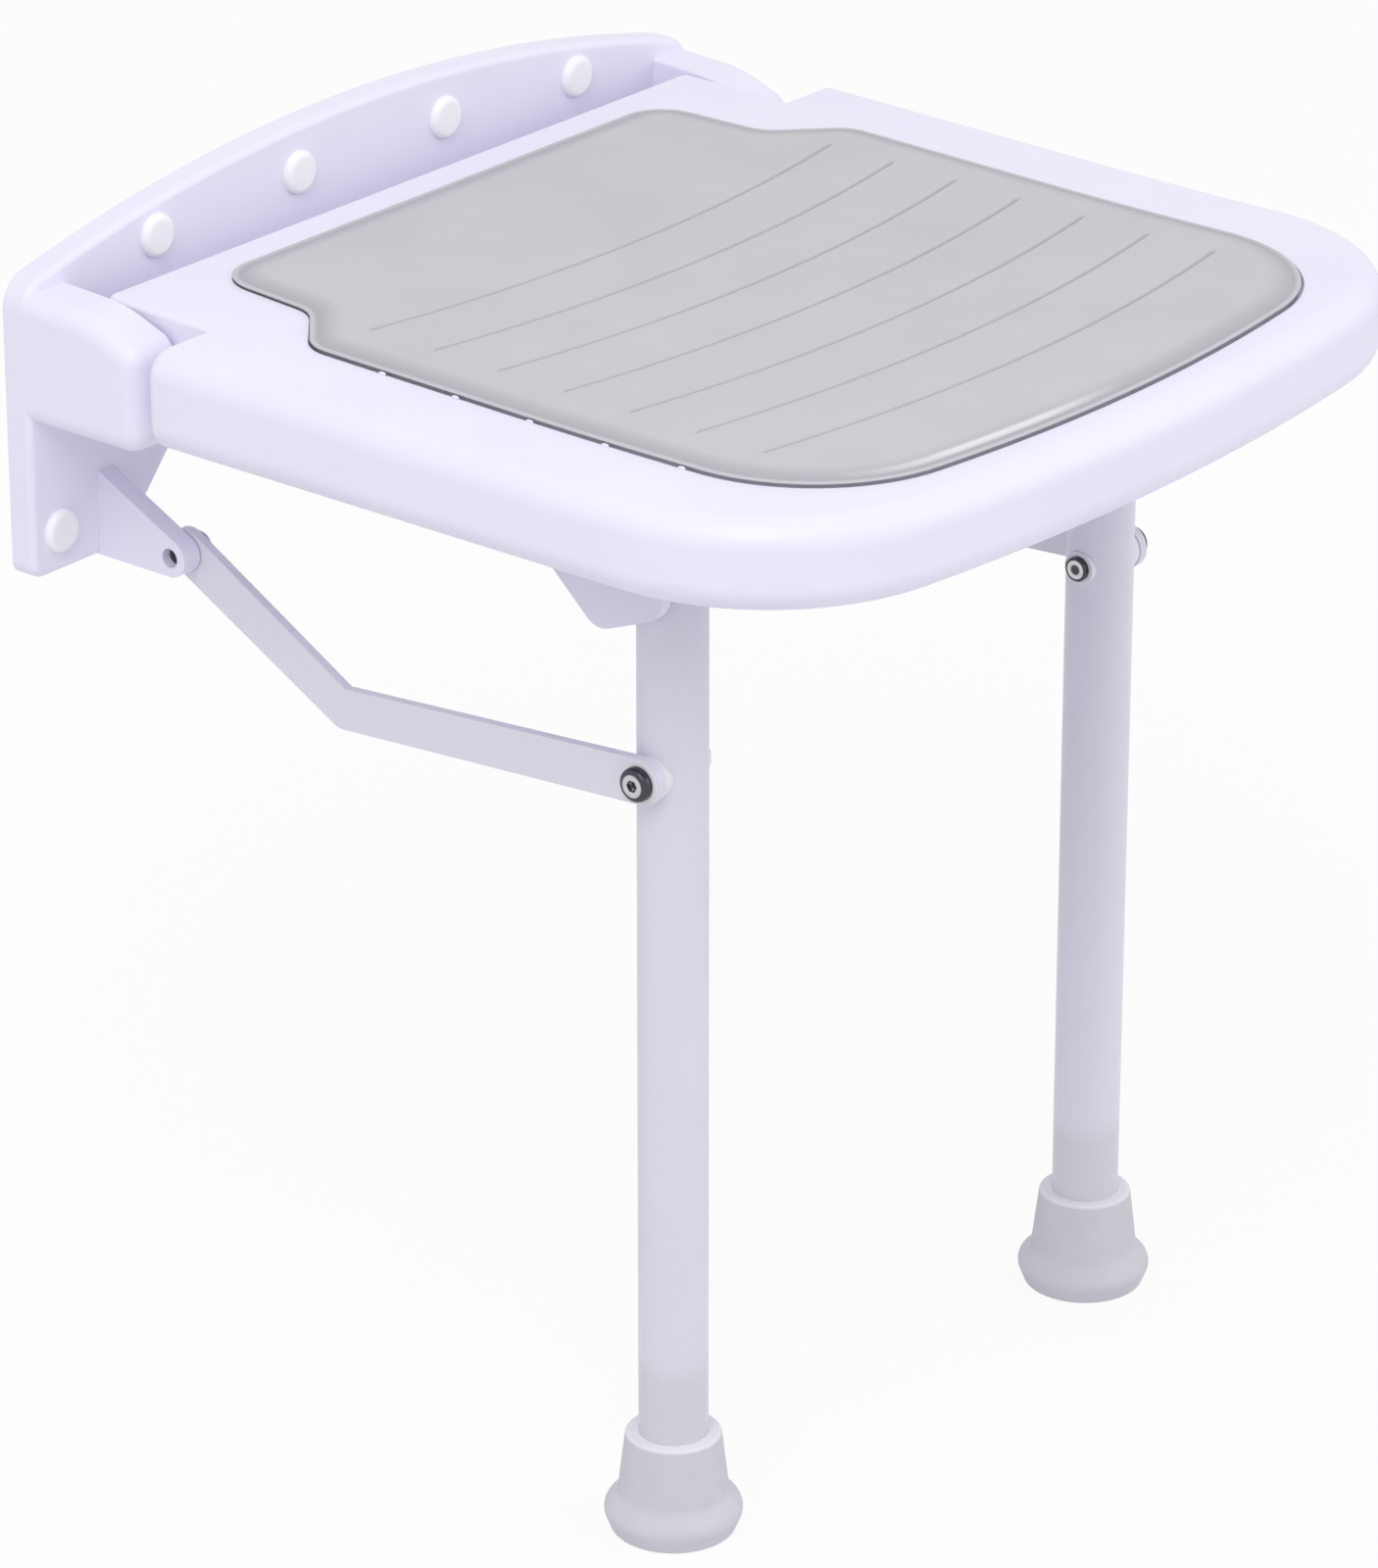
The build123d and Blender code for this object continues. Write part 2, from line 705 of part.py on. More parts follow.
def make_leg_top_plug(sign):
    """Plug in the tube's upper end, with a domed top that clears the bracket."""
    x = sign * leg_offset
    dome_height = tube_radius - tube_above_pivot
    start = x - 2 * tube_radius
    with BuildPart() as plug:
        with BuildSketch(Plane.XY.offset(tube_top - plug_length)):
            with Locations((x, leg_y)):
                Circle(tube_radius - tube_wall - seated)
        extrude(amount=plug_length)
        with BuildSketch(Plane.XY.offset(tube_top)):
            with Locations((x, leg_y)):
                Circle(tube_radius)
        extrude(amount=dome_height)
        fillet(plug.faces().sort_by(Axis.Z)[-1].edges(), plug_dome * dome_height)
        pivot = rod_on_x(start, leg_y, pivot_z, pivot_bush_radius + seated, 4 * tube_radius)
        add(pivot, mode=Mode.SUBTRACT)
    return plug.part


def make_foot(sign):
    """Rubber ferrule: tapered neck, flared base, socket for the tube."""
    x = sign * leg_offset
    socket_radius = tube_radius + seated
    with BuildPart() as foot:
        with BuildSketch(Plane((x, leg_y, floor_z), x_dir=(1, 0, 0), z_dir=(0, -1, 0))):
            with BuildLine():
                FilletPolyline(
                    (socket_radius, foot_height),
                    (foot_neck_radius, foot_height),
                    (foot_waist_radius, foot_waist_height),
                    (foot_base_radius, foot_base_height),
                    (foot_sole_radius, 0),
                    (0, 0),
                    radius=[foot_lip_round, foot_flare_round, foot_base_round, foot_sole_round],
                )
                Polyline(
                    (0, 0),
                    (0, foot_sole_thickness),
                    (socket_radius, foot_sole_thickness),
                    (socket_radius, foot_height),
                )
            make_face()
        revolve(axis=Axis((x, leg_y, 0), (0, 0, 1)))
    return foot.part


def make_foot_disc(sign):
    """Steel disc between the tube's lower end and the ferrule's sole."""
    with BuildPart() as disc:
        with BuildSketch(Plane.XY.offset(floor_z + foot_sole_thickness)):
            with Locations((sign * leg_offset, leg_y)):
                Circle(tube_radius - seated)
        extrude(amount=foot_disc_thickness)
    return disc.part


def link_limb(face, length, start, end, start_radius, end_radius):
    """One straight limb of the link, from a face along X for a signed length."""
    with BuildPart() as limb:
        with BuildSketch(Plane.YZ.offset(face)):
            with Locations(start):
                Circle(start_radius)
            with Locations(end):
                Circle(end_radius)
            make_hull()
        extrude(amount=length)
    return limb.part


def make_link_arm(sign):
    """Flat bar from the wall lug to the leg, with a dog-leg bend."""
    rear = (hinge_y, link_z)
    bend = (hinge_y - link_bend_reach, link_z - link_bend_drop)
    front = (leg_y, leg_link_z)
    face = sign * link_inner
    length = sign * link_thickness
    eye = link_bush_radius + seated
    with BuildPart() as arm:
        add(link_limb(face, length, rear, bend, link_eye_radius, link_half_width))
        add(link_limb(face, length, bend, front, link_half_width, link_eye_radius))
        for y, z in (rear, front):
            add(rod_on_x(face, y, z, eye, length), mode=Mode.SUBTRACT)
    return arm.part


def make_link_bush(sign, y, z, flange_outside):
    """Flanged bush in one eye of the link, with its flange on the side of the bolt's head."""
    inner_end = link_inner - (0 if flange_outside else bush_flange)
    length = link_thickness + bush_flange
    flange_face = link_outer if flange_outside else inner_end
    with BuildPart() as bush:
        add(rod_on_x(sign * inner_end, y, z, link_bush_radius, sign * length))
        add(rod_on_x(sign * flange_face, y, z, bush_flange_radius, sign * bush_flange))
        bore = rod_on_x(sign * inner_end, y, z, link_bolt_radius + running, sign * length)
        add(bore, mode=Mode.SUBTRACT)
    return bush.part


def make_link_wall_bolt(sign):
    """Bolt from inside the link into the lug, ending short of the lug's outer face."""
    head_face = link_inner - bush_flange - side_play
    shank = lug_inner + lug_thickness - lug_bolt_recess - head_face
    with BuildPart() as bolt:
        add(rod_on_x(sign * head_face, hinge_y, link_z, link_bolt_radius, sign * shank))
        add(rod_on_x(sign * head_face, hinge_y, link_z, link_head_radius, -sign * link_head_height))
        fillet(bolt.edges().sort_by(Axis.X, reverse=sign < 0)[0], link_head_round)
    return bolt.part


def make_link_leg_bolt(sign):
    """Button-head bolt from outside through the link and the tube to the nut."""
    head_face = link_outer + bush_flange + side_play
    shank = head_face - washer_face + nut_height
    with BuildPart() as bolt:
        add(rod_on_x(sign * head_face, leg_y, leg_link_z, link_bolt_radius, -sign * shank))
        add(rod_on_x(sign * head_face, leg_y, leg_link_z, link_head_radius, sign * link_head_height))
        fillet(bolt.edges().sort_by(Axis.X, reverse=sign > 0)[0], link_head_round)
        with BuildSketch(Plane.YZ.offset(sign * (head_face + link_head_height))):
            with Locations((leg_y, leg_link_z)):
                RegularPolygon(link_socket_radius, 6)
        extrude(amount=-sign * link_socket_depth, mode=Mode.SUBTRACT)
    return bolt.part


def make_saddle(sign, face, radius, rim):
    """Saddle washer on the tube at the link's bolt, reaching a rim beyond the tube towards a face."""
    towards = 1 if face > leg_offset else -1
    with BuildPart() as saddle:
        add(rod_on_x(sign * face, leg_y, leg_link_z, radius, -sign * towards * (rim + saddle_wrap)))
        with BuildSketch(Plane.XY.offset(leg_link_z - 2 * radius)):
            with Locations((sign * leg_offset, leg_y)):
                Circle(tube_radius + seated)
        extrude(amount=4 * radius, mode=Mode.SUBTRACT)
        hole = rod_on_x(
            sign * (leg_offset - 2 * tube_radius),
            leg_y,
            leg_link_z,
            link_bolt_radius + seated,
            sign * 4 * tube_radius,
        )
        add(hole, mode=Mode.SUBTRACT)
    return saddle.part


def make_link_leg_nut(sign):
    """Round nut on the inner end of the link's bolt."""
    with BuildPart() as nut:
        add(rod_on_x(sign * washer_face, leg_y, leg_link_z, nut_radius, -sign * nut_height))
        fillet(nut.edges().sort_by(Axis.X, reverse=sign < 0)[0], nut_height / 4)
        thread = rod_on_x(
            sign * washer_face, leg_y, leg_link_z, link_bolt_radius + seated, -sign * nut_height
        )
        add(thread, mode=Mode.SUBTRACT)
    return nut.part


os.makedirs("parts", exist_ok=True)
save(make_wall_plate(), "wall_plate")
save(make_screw_caps(), "screw_caps")
save(make_seat_shell(), "seat_shell")
save(make_seat_pad(), "seat_pad")
for side, sign in sides.items():
    save(make_hinge_insert(sign), f"hinge_insert_{side}")
    save(make_hinge_bolt(sign), f"hinge_bolt_{side}")
    save(make_hinge_bush(sign), f"hinge_bush_{side}")
    save(make_leg_bracket(sign), f"leg_bracket_{side}")
    save(make_bracket_screws(sign), f"bracket_screws_{side}")
    save(make_leg_pivot_bolt(sign), f"leg_pivot_bolt_{side}")
    save(make_leg_pivot_bush(sign), f"leg_pivot_bush_{side}")
    save(make_leg_tube(sign), f"leg_tube_{side}")
    save(make_leg_top_plug(sign), f"leg_top_plug_{side}")
    save(make_foot(sign), f"foot_{side}")
    save(make_foot_disc(sign), f"foot_disc_{side}")
    save(make_link_arm(sign), f"link_arm_{side}")
    save(make_link_bush(sign, leg_y, leg_link_z, True), f"link_bush_front_{side}")
    save(make_link_bush(sign, hinge_y, link_z, False), f"link_bush_rear_{side}")
    save(make_link_wall_bolt(sign), f"link_wall_bolt_{side}")
    save(make_link_leg_bolt(sign), f"link_leg_bolt_{side}")
    save(make_saddle(sign, spacer_face, spacer_radius, spacer_rim), f"link_spacer_{side}")
    save(make_saddle(sign, washer_face, washer_radius, washer_rim), f"link_leg_washer_{side}")
    save(make_link_leg_nut(sign), f"link_leg_nut_{side}")
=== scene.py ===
"""Finishes, soft pad and studio of a wall-mounted folding shower seat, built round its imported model.

The model is the fixed frame: metres, +X to the right, +Y into the wall, +Z up, with the origin on the
wall face at the height of the seat's hinge. The classes hold their sizes in millimetres, and MM turns
them to metres.
"""

import logging
import math
from dataclasses import dataclass
from enum import Enum
from functools import partial
from typing import Any

import bpy
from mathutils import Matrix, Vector
from mathutils.geometry import delaunay_2d_cdt

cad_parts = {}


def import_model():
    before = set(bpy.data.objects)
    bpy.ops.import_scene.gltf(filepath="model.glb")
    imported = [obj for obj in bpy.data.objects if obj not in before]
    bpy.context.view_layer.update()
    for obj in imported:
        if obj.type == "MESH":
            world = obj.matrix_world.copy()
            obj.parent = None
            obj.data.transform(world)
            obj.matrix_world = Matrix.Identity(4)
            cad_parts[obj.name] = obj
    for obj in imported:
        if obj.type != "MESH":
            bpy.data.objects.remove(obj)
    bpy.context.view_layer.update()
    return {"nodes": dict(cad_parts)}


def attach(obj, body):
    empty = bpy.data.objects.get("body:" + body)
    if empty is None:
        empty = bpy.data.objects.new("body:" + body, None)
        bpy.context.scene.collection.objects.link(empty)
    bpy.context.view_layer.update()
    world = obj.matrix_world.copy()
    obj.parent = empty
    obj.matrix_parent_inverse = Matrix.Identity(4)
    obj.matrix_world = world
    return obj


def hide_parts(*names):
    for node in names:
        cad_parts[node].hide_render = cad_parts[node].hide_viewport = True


MM = 0.001
FLOOR_DROP_MM = 445.0
LOG = logging.getLogger("shower_seat")

PATCH_DETAIL = 3.0
# A noise seldom leaves this part of its range from nought to one.
NOISE_SPAN = (0.3, 0.7)

# Every turned piece lies along X, so its radius is measured across it.
ACROSS_X = (0.0, 1.0, 1.0)

Point = tuple[float, float]
Point3 = tuple[float, float, float]


class Side(Enum):
    """The two mirrored sides of the seat."""

    LEFT = -1
    RIGHT = 1

    @property
    def label(self) -> str:
        """The side's name as the nodes spell it."""
        return self.name.lower()


def linear(colour: str) -> tuple[float, float, float, float]:
    """Turn an sRGB hex colour to linear light.

    Args:
        colour: Six hex digits after a hash sign.

    Returns:
        Red, green, blue and an alpha of one.
    """
    channels = [int(colour[i : i + 2], 16) / 255 for i in (1, 3, 5)]
    red, green, blue = [c / 12.92 if c <= 0.04045 else ((c + 0.055) / 1.055) ** 2.4 for c in channels]
    return red, green, blue, 1.0


def per_metre(size_mm: float) -> float:
    """Texture scale at which one feature is that many millimetres wide."""
    return 1 / (size_mm * MM)


def add_node(
    tree: bpy.types.NodeTree,
    kind: str,
    settings: dict[str, Any] | None = None,
    values: dict[Any, Any] | None = None,
    links: dict[Any, bpy.types.NodeSocket] | None = None,
) -> bpy.types.Node:
    """Add one node to a tree.

    Args:
        tree: Tree of a material, a world or a shape.
        kind: Blender's name for the node's type.
        settings: Properties of the node.
        values: Constants for its inputs, by name or number.
        links: Sockets that feed its inputs, by name or number.

    Returns:
        The new node.
    """
    node = tree.nodes.new(kind)
    for name, value in (settings or {}).items():
        setattr(node, name, value)
    for key, value in (values or {}).items():
        node.inputs[key].default_value = value
    for key, socket in (links or {}).items():
        tree.links.new(socket, node.inputs[key])
    return node


def object_place(tree: bpy.types.NodeTree) -> bpy.types.NodeSocket:
    """Socket of the place on a piece, for a material's tree."""
    return add_node(tree, "ShaderNodeTexCoord").outputs["Object"]


def reckon(tree: bpy.types.NodeTree, operation: str, first: Any, second: Any = None) -> bpy.types.NodeSocket:
    """Work out one step from sockets or numbers.

    Args:
        tree: Tree of a material, a world or a shape.
        operation: What is done with them.
        first: The first socket or number.
        second: The second one, where there are two.

    Returns:
        Socket of the result.
    """
    given = {k: v for k, v in enumerate((first, second)) if v is not None}
    fixed = {k: v for k, v in given.items() if isinstance(v, (int, float))}
    fed = {k: v for k, v in given.items() if k not in fixed}
    return add_node(tree, "ShaderNodeMath", {"operation": operation}, fixed, fed).outputs[0]


def ease(
    tree: bpy.types.NodeTree, value: bpy.types.NodeSocket, start: Any, end: Any, first: float, last: float
) -> bpy.types.NodeSocket:
    """Ease from one number to another while a value runs from start to end.

    Args:
        tree: Tree of a material or a shape.
        value: Socket of the value.
        start: Socket or number at which the easing starts.
        end: Socket or number at which it ends.
        first: What it starts from.
        last: What it comes to.

    Returns:
        Socket of the result.
    """
    given = {"Value": value, "From Min": start, "From Max": end}
    fixed = {k: v for k, v in given.items() if isinstance(v, (int, float))}
    fed = {k: v for k, v in given.items() if k not in fixed}
    results = {"To Min": first, "To Max": last}
    how = {"interpolation_type": "SMOOTHSTEP"}
    return add_node(tree, "ShaderNodeMapRange", how, {**results, **fixed}, fed).outputs[0]


def new_piece(name: str, points: list[Point3], faces: list[list[int]]) -> bpy.types.Object:
    """Make a smooth-shaded mesh object from points in millimetres.

    Args:
        name: Name of the piece.
        points: Corners in the frame, in millimetres.
        faces: Corner numbers of each face, counter-clockwise from outside.

    Returns:
        The object, in the scene and at the origin.
    """
    mesh = bpy.data.meshes.new(name)
    mesh.from_pydata([[c * MM for c in p] for p in points], [], faces)
    mesh.update()
    mesh.shade_smooth()
    piece = bpy.data.objects.new(name, mesh)
    bpy.context.scene.collection.objects.link(piece)
    return piece


def start_tree(name: str, sizes: dict[str, str]) -> tuple[bpy.types.NodeTree, bpy.types.Node]:
    """Start a shape tree that takes and gives geometry.

    Args:
        name: Name of the tree.
        sizes: Its other inputs, each with its socket type.

    Returns:
        The tree and its input node.
    """
    tree = bpy.data.node_groups.new(name, "GeometryNodeTree")
    tree.interface.new_socket("Geometry", in_out="INPUT", socket_type="NodeSocketGeometry")
    for label, kind in sizes.items():
        tree.interface.new_socket(label, in_out="INPUT", socket_type=kind)
    tree.interface.new_socket("Geometry", in_out="OUTPUT", socket_type="NodeSocketGeometry")
    return tree, add_node(tree, "NodeGroupInput")


def end_tree(tree: bpy.types.NodeTree, shape: bpy.types.NodeSocket, material: bpy.types.Material) -> None:
    """End a shape tree: make its copies real, give them their material and hand them out.

    Args:
        tree: The tree.
        shape: Socket of its finished shape.
        material: Finish of the shape.
    """
    real = add_node(tree, "GeometryNodeRealizeInstances", links={0: shape}).outputs[0]
    clad = add_node(tree, "GeometryNodeSetMaterial", values={"Material": material}, links={"Geometry": real})
    add_node(tree, "NodeGroupOutput", links={0: clad.outputs[0]})


def run_tree(piece: bpy.types.Object, tree: bpy.types.NodeTree, sizes: dict[str, Any]) -> None:
    """Run a shape tree on a piece and keep the result as its plain mesh.

    Args:
        piece: Object whose mesh is replaced.
        tree: Finished tree.
        sizes: Values of its named inputs.
    """
    modifier = piece.modifiers.new(tree.name, "NODES")
    modifier.node_group = tree
    for item in tree.interface.items_tree:
        if item.in_out == "INPUT" and item.name in sizes:
            modifier[item.identifier] = sizes[item.name]
    graph = bpy.context.evaluated_depsgraph_get()
    mesh = bpy.data.meshes.new_from_object(piece.evaluated_get(graph))
    piece.modifiers.remove(modifier)
    piece.data = mesh
    mesh.shade_smooth()


@dataclass(frozen=True)
class Finish:
    """What every finish has: two close tones in patches, a roughness that swings with them and a grain."""

    name: str
    colour: str
    shade: str
    roughness: float
    swing: float
    patch_mm: float
    grain_mm: float
    grain_depth_mm: float
    grain_detail: float = 2.0
    ior: float = 1.5
    metallic: float = 0.0

    def build(self) -> bpy.types.Material:
        """Build the material."""
        material = bpy.data.materials.new(self.name)
        material.use_nodes = True
        tree = material.node_tree
        shader = tree.nodes["Principled BSDF"]
        shader.inputs["IOR"].default_value = self.ior
        shader.inputs["Metallic"].default_value = self.metallic
        drift = self.tone(tree, shader)
        self.mark(tree, shader, drift)
        bump = add_node(
            tree,
            "ShaderNodeBump",
            values={"Strength": 1.0, "Distance": self.grain_depth_mm * MM},
            links={"Height": self.grain(tree)},
        )
        tree.links.new(bump.outputs["Normal"], shader.inputs["Normal"])
        return material

    def tone(self, tree: bpy.types.NodeTree, shader: bpy.types.Node) -> bpy.types.NodeSocket:
        """Let the colour drift between the two tones in patches, and the roughness with it.

        Args:
            tree: The material's tree.
            shader: Its shader node.

        Returns:
            The socket that carries the drift, from nought to one.
        """
        drift = add_node(
            tree,
            "ShaderNodeTexNoise",
            values={"Scale": per_metre(self.patch_mm), "Detail": PATCH_DETAIL},
            links={"Vector": object_place(tree)},
        ).outputs["Fac"]
        mix = add_node(
            tree,
            "ShaderNodeMix",
            {"data_type": "RGBA"},
            {6: linear(self.colour), 7: linear(self.shade)},
            {0: drift},
        )
        tree.links.new(mix.outputs[2], shader.inputs["Base Color"])
        low, high = NOISE_SPAN
        span = add_node(
            tree,
            "ShaderNodeMapRange",
            values={
                "From Min": low,
                "From Max": high,
                "To Min": self.roughness - self.swing,
                "To Max": self.roughness + self.swing,
            },
            links={"Value": drift},
        )
        tree.links.new(span.outputs[0], shader.inputs["Roughness"])
        return drift

    def mark(self, tree: bpy.types.NodeTree, shader: bpy.types.Node, drift: bpy.types.NodeSocket) -> None:
        """Lay further tones over the two. A plain finish has none.

        Args:
            tree: The material's tree.
            shader: Its shader node.
            drift: Socket of the patches.
        """

    def grain(self, tree: bpy.types.NodeTree) -> bpy.types.NodeSocket:
        """Height of the fine grain.

        Args:
            tree: The material's tree.

        Returns:
            Its socket.
        """
        noise = add_node(
            tree,
            "ShaderNodeTexNoise",
            values={"Scale": per_metre(self.grain_mm), "Detail": self.grain_detail},
            links={"Vector": object_place(tree)},
        )
        return noise.outputs["Fac"]

    def tint(
        self, tree: bpy.types.NodeTree, shader: bpy.types.Node, shade: str, share: bpy.types.NodeSocket
    ) -> None:
        """Lay another colour over the base colour.

        Args:
            tree: The material's tree.
            shader: Its shader node.
            shade: The colour laid over.
            share: Socket of its share.
        """
        below = shader.inputs["Base Color"].links[0].from_socket
        mix = add_node(
            tree, "ShaderNodeMix", {"data_type": "RGBA"}, {7: linear(shade)}, {0: share, 6: below}
        )
        tree.links.new(mix.outputs[2], shader.inputs["Base Color"])

    def by_height(
        self, tree: bpy.types.NodeTree, full_mm: float, end_mm: float, most: float
    ) -> bpy.types.NodeSocket:
        """Share of a mark that fades with the height above the floor.

        Args:
            tree: The material's tree.
            full_mm: Height at which the share is the most.
            end_mm: Height at which it has come to nothing.
            most: The greatest share.

        Returns:
            Socket of the share.
        """
        height = add_node(tree, "ShaderNodeSeparateXYZ", links={0: object_place(tree)}).outputs["Z"]
        full, none = [(h - FLOOR_DROP_MM) * MM for h in (full_mm, end_mm)]
        return ease(tree, height, full, none, most, 0.0)


@dataclass(frozen=True)
class MouldedPolypropylene(Finish):
    """White polypropylene from a spark-eroded mould: satin, an even fine grain and soft flow marks."""

    name: str = "moulded_polypropylene"
    colour: str = "#EFEDFD"
    shade: str = "#E9E7F9"
    roughness: float = 0.42
    swing: float = 0.05
    patch_mm: float = 70.0
    # The real grain is about 0.3 mm. It is drawn coarser, so that it shows in the render.
    grain_mm: float = 1.6
    grain_depth_mm: float = 0.012
    ior: float = 1.49


@dataclass(frozen=True)
class FoamSkin(Finish):
    """Integral-skin polyurethane foam: a grey pebbled skin, with painted shade darkening its grooves and
    rolled edge.

    A painted highlight, a paler streak of fixed tone, lies on the roll's front left.
    """

    name: str = "integral_skin_polyurethane"
    colour: str = "#C6C6CB"
    shade: str = "#BFBFC5"
    # Colours of painted shade in the grooves and on the roll, and of a painted highlight on the roll's front.
    painted_groove_shade: str = "#A2A2AA"
    painted_roll_shade: str = "#AEAEB6"
    painted_highlight_shade: str = "#E6E6EA"
    roughness: float = 0.6
    swing: float = 0.06
    sheen_coat: float = 0.2
    coat_roughness: float = 0.3
    patch_mm: float = 45.0
    # The real pebbles are about 0.8 mm. They are drawn coarser, so that they show in the render.
    grain_mm: float = 2.2
    grain_depth_mm: float = 0.06
    pebble_smoothness: float = 0.6
    ior: float = 1.48

    def mark(self, tree: bpy.types.NodeTree, shader: bpy.types.Node, drift: bpy.types.NodeSocket) -> None:
        """Paint shade on the roll and in the grooves, paint a highlight as a paler streak on the front, and
        lay a thin sheen over all.
        """
        # Shade is painted on the roll and in the grooves, and a highlight on the roll's front.
        marks = {"roll": self.painted_roll_shade, "painted_highlight": self.painted_highlight_shade, "groove": self.painted_groove_shade}
        for mark, shade in marks.items():
            share = add_node(tree, "ShaderNodeAttribute", {"attribute_name": mark})
            self.tint(tree, shader, shade, share.outputs["Fac"])
        shader.inputs["Coat Weight"].default_value = self.sheen_coat
        shader.inputs["Coat Roughness"].default_value = self.coat_roughness

    def grain(self, tree: bpy.types.NodeTree) -> bpy.types.NodeSocket:
        """Height of the pebbles."""
        pebble = add_node(
            tree,
            "ShaderNodeTexVoronoi",
            {"feature": "SMOOTH_F1"},
            {"Scale": per_metre(self.grain_mm), "Smoothness": self.pebble_smoothness},
            {"Vector": object_place(tree)},
        )
        return pebble.outputs["Distance"]


@dataclass(frozen=True)
class PowderCoat(Finish):
    """White polyester powder coat on aluminium: satin, with the faint dimples of orange peel."""

    name: str = "powder_coated_aluminium"
    colour: str = "#E4E3EF"
    shade: str = "#DEDDEA"
    roughness: float = 0.36
    swing: float = 0.04
    patch_mm: float = 55.0
    grain_mm: float = 2.4
    grain_depth_mm: float = 0.02
    grain_detail: float = 1.0


@dataclass(frozen=True)
class LegCoat(PowderCoat):
    """The same coat on a leg, greyer over the lowest stretch."""

    name: str = "powder_coated_aluminium_leg"
    colour: str = "#E2E1ED"
    shade: str = "#DCDBE8"
    dulled: str = "#D4D3DA"
    dulled_share: float = 0.8
    dulled_height_mm: float = 68.0
    fade_mm: float = 14.0

    def mark(self, tree: bpy.types.NodeTree, shader: bpy.types.Node, drift: bpy.types.NodeSocket) -> None:
        """Grey the lowest stretch."""
        end_mm = self.dulled_height_mm + self.fade_mm
        share = self.by_height(tree, self.dulled_height_mm, end_mm, self.dulled_share)
        self.tint(tree, shader, self.dulled, share)


@dataclass(frozen=True)
class FerruleRubber(Finish):
    """Light grey moulded rubber: matt, mottled with bloom, paler in patches near the floor, with a painted
    highlight along the top rim.
    """

    name: str = "moulded_grey_rubber"
    colour: str = "#D6D5DC"
    shade: str = "#CDCCD4"
    # Paler tone laid in patches near the floor.
    pale_base: str = "#E0DFE8"
    # Colour of a painted highlight along the top rim.
    rim: str = "#ECEBF2"
    roughness: float = 0.72
    swing: float = 0.06
    patch_mm: float = 9.0
    pale_base_height_mm: float = 13.0
    pale_base_share: float = 0.8
    top_mm: float = 43.0
    highlight_band_mm: float = 1.6
    grain_mm: float = 1.8
    grain_depth_mm: float = 0.05
    ior: float = 1.52

    def mark(self, tree: bpy.types.NodeTree, shader: bpy.types.Node, drift: bpy.types.NodeSocket) -> None:
        """Lighten the base in patches near the floor, and paint a highlight along the top rim."""
        reach = self.by_height(tree, 0.0, self.pale_base_height_mm, self.pale_base_share)
        self.tint(tree, shader, self.pale_base, reckon(tree, "MULTIPLY", reach, drift))
        self.tint(tree, shader, self.rim, self.by_height(tree, self.top_mm, self.top_mm - self.highlight_band_mm, 1.0))


@dataclass(frozen=True)
class NaturalNylon(Finish):
    """Unfilled nylon, moulded: a soft milky white with a faint mottle."""

    name: str = "natural_nylon"
    colour: str = "#F2F2F6"
    shade: str = "#E8E8EE"
    roughness: float = 0.45
    swing: float = 0.05
    patch_mm: float = 6.0
    grain_mm: float = 1.2
    grain_depth_mm: float = 0.015
    ior: float = 1.53


@dataclass(frozen=True)
class TurnedMetal(Finish):
    """Metal off a lathe: fine rings about the piece's own axis, and a painted highlight ring between a core
    and flank painted dark as shade and reflection.
    """

    name: str = "turned_stainless_steel"
    colour: str = "#D6D6DA"
    shade: str = "#C2C2C7"
    # Dark colour painted on the core as shade and on the flank as reflection.
    painted_shade_and_reflection: str = "#4E4E54"
    roughness: float = 0.28
    swing: float = 0.08
    patch_mm: float = 3.0
    centre_mm: Point3 = (0.0, 0.0, 0.0)
    # Radii of the painted shade on the core and of the painted highlight ring, outside which the flank is
    # painted dark.
    core_radius_mm: float = 1.0
    painted_highlight_radius_mm: float = 3.2
    fade_mm: float = 0.8
    # Real tool marks are about 0.1 mm apart. They are drawn coarser, so that they show in the render.
    grain_mm: float = 0.7
    grain_depth_mm: float = 0.01
    metallic: float = 1.0

    def radius(self, tree: bpy.types.NodeTree) -> bpy.types.NodeSocket:
        """Distance from the piece's axis.

        Args:
            tree: The material's tree.

        Returns:
            Its socket.
        """
        mask = ACROSS_X
        shift = [-c * m * MM for c, m in zip(self.centre_mm, mask)]
        place = object_place(tree)
        spoke = add_node(
            tree, "ShaderNodeMapping", values={"Location": shift, "Scale": mask}, links={"Vector": place}
        ).outputs[0]
        length = add_node(tree, "ShaderNodeVectorMath", {"operation": "LENGTH"}, links={0: spoke})
        return length.outputs["Value"]

    def mark(self, tree: bpy.types.NodeTree, shader: bpy.types.Node, drift: bpy.types.NodeSocket) -> None:
        """Paint shade on the core and a dark reflection on the flank, which leaves a painted highlight ring
        between.
        """
        radius = self.radius(tree)
        fade = self.fade_mm * MM
        core = self.core_radius_mm * MM
        bright = self.painted_highlight_radius_mm * MM
        inside = ease(tree, radius, core, core + fade, 1.0, 0.0)
        outside = ease(tree, radius, bright, bright + fade, 0.0, 1.0)
        self.tint(tree, shader, self.painted_shade_and_reflection, reckon(tree, "MAXIMUM", inside, outside))

    def grain(self, tree: bpy.types.NodeTree) -> bpy.types.NodeSocket:
        """Height of the rings that the tool left."""
        turns = reckon(tree, "MULTIPLY", self.radius(tree), 2 * math.pi * per_metre(self.grain_mm))
        return reckon(tree, "SINE", turns)


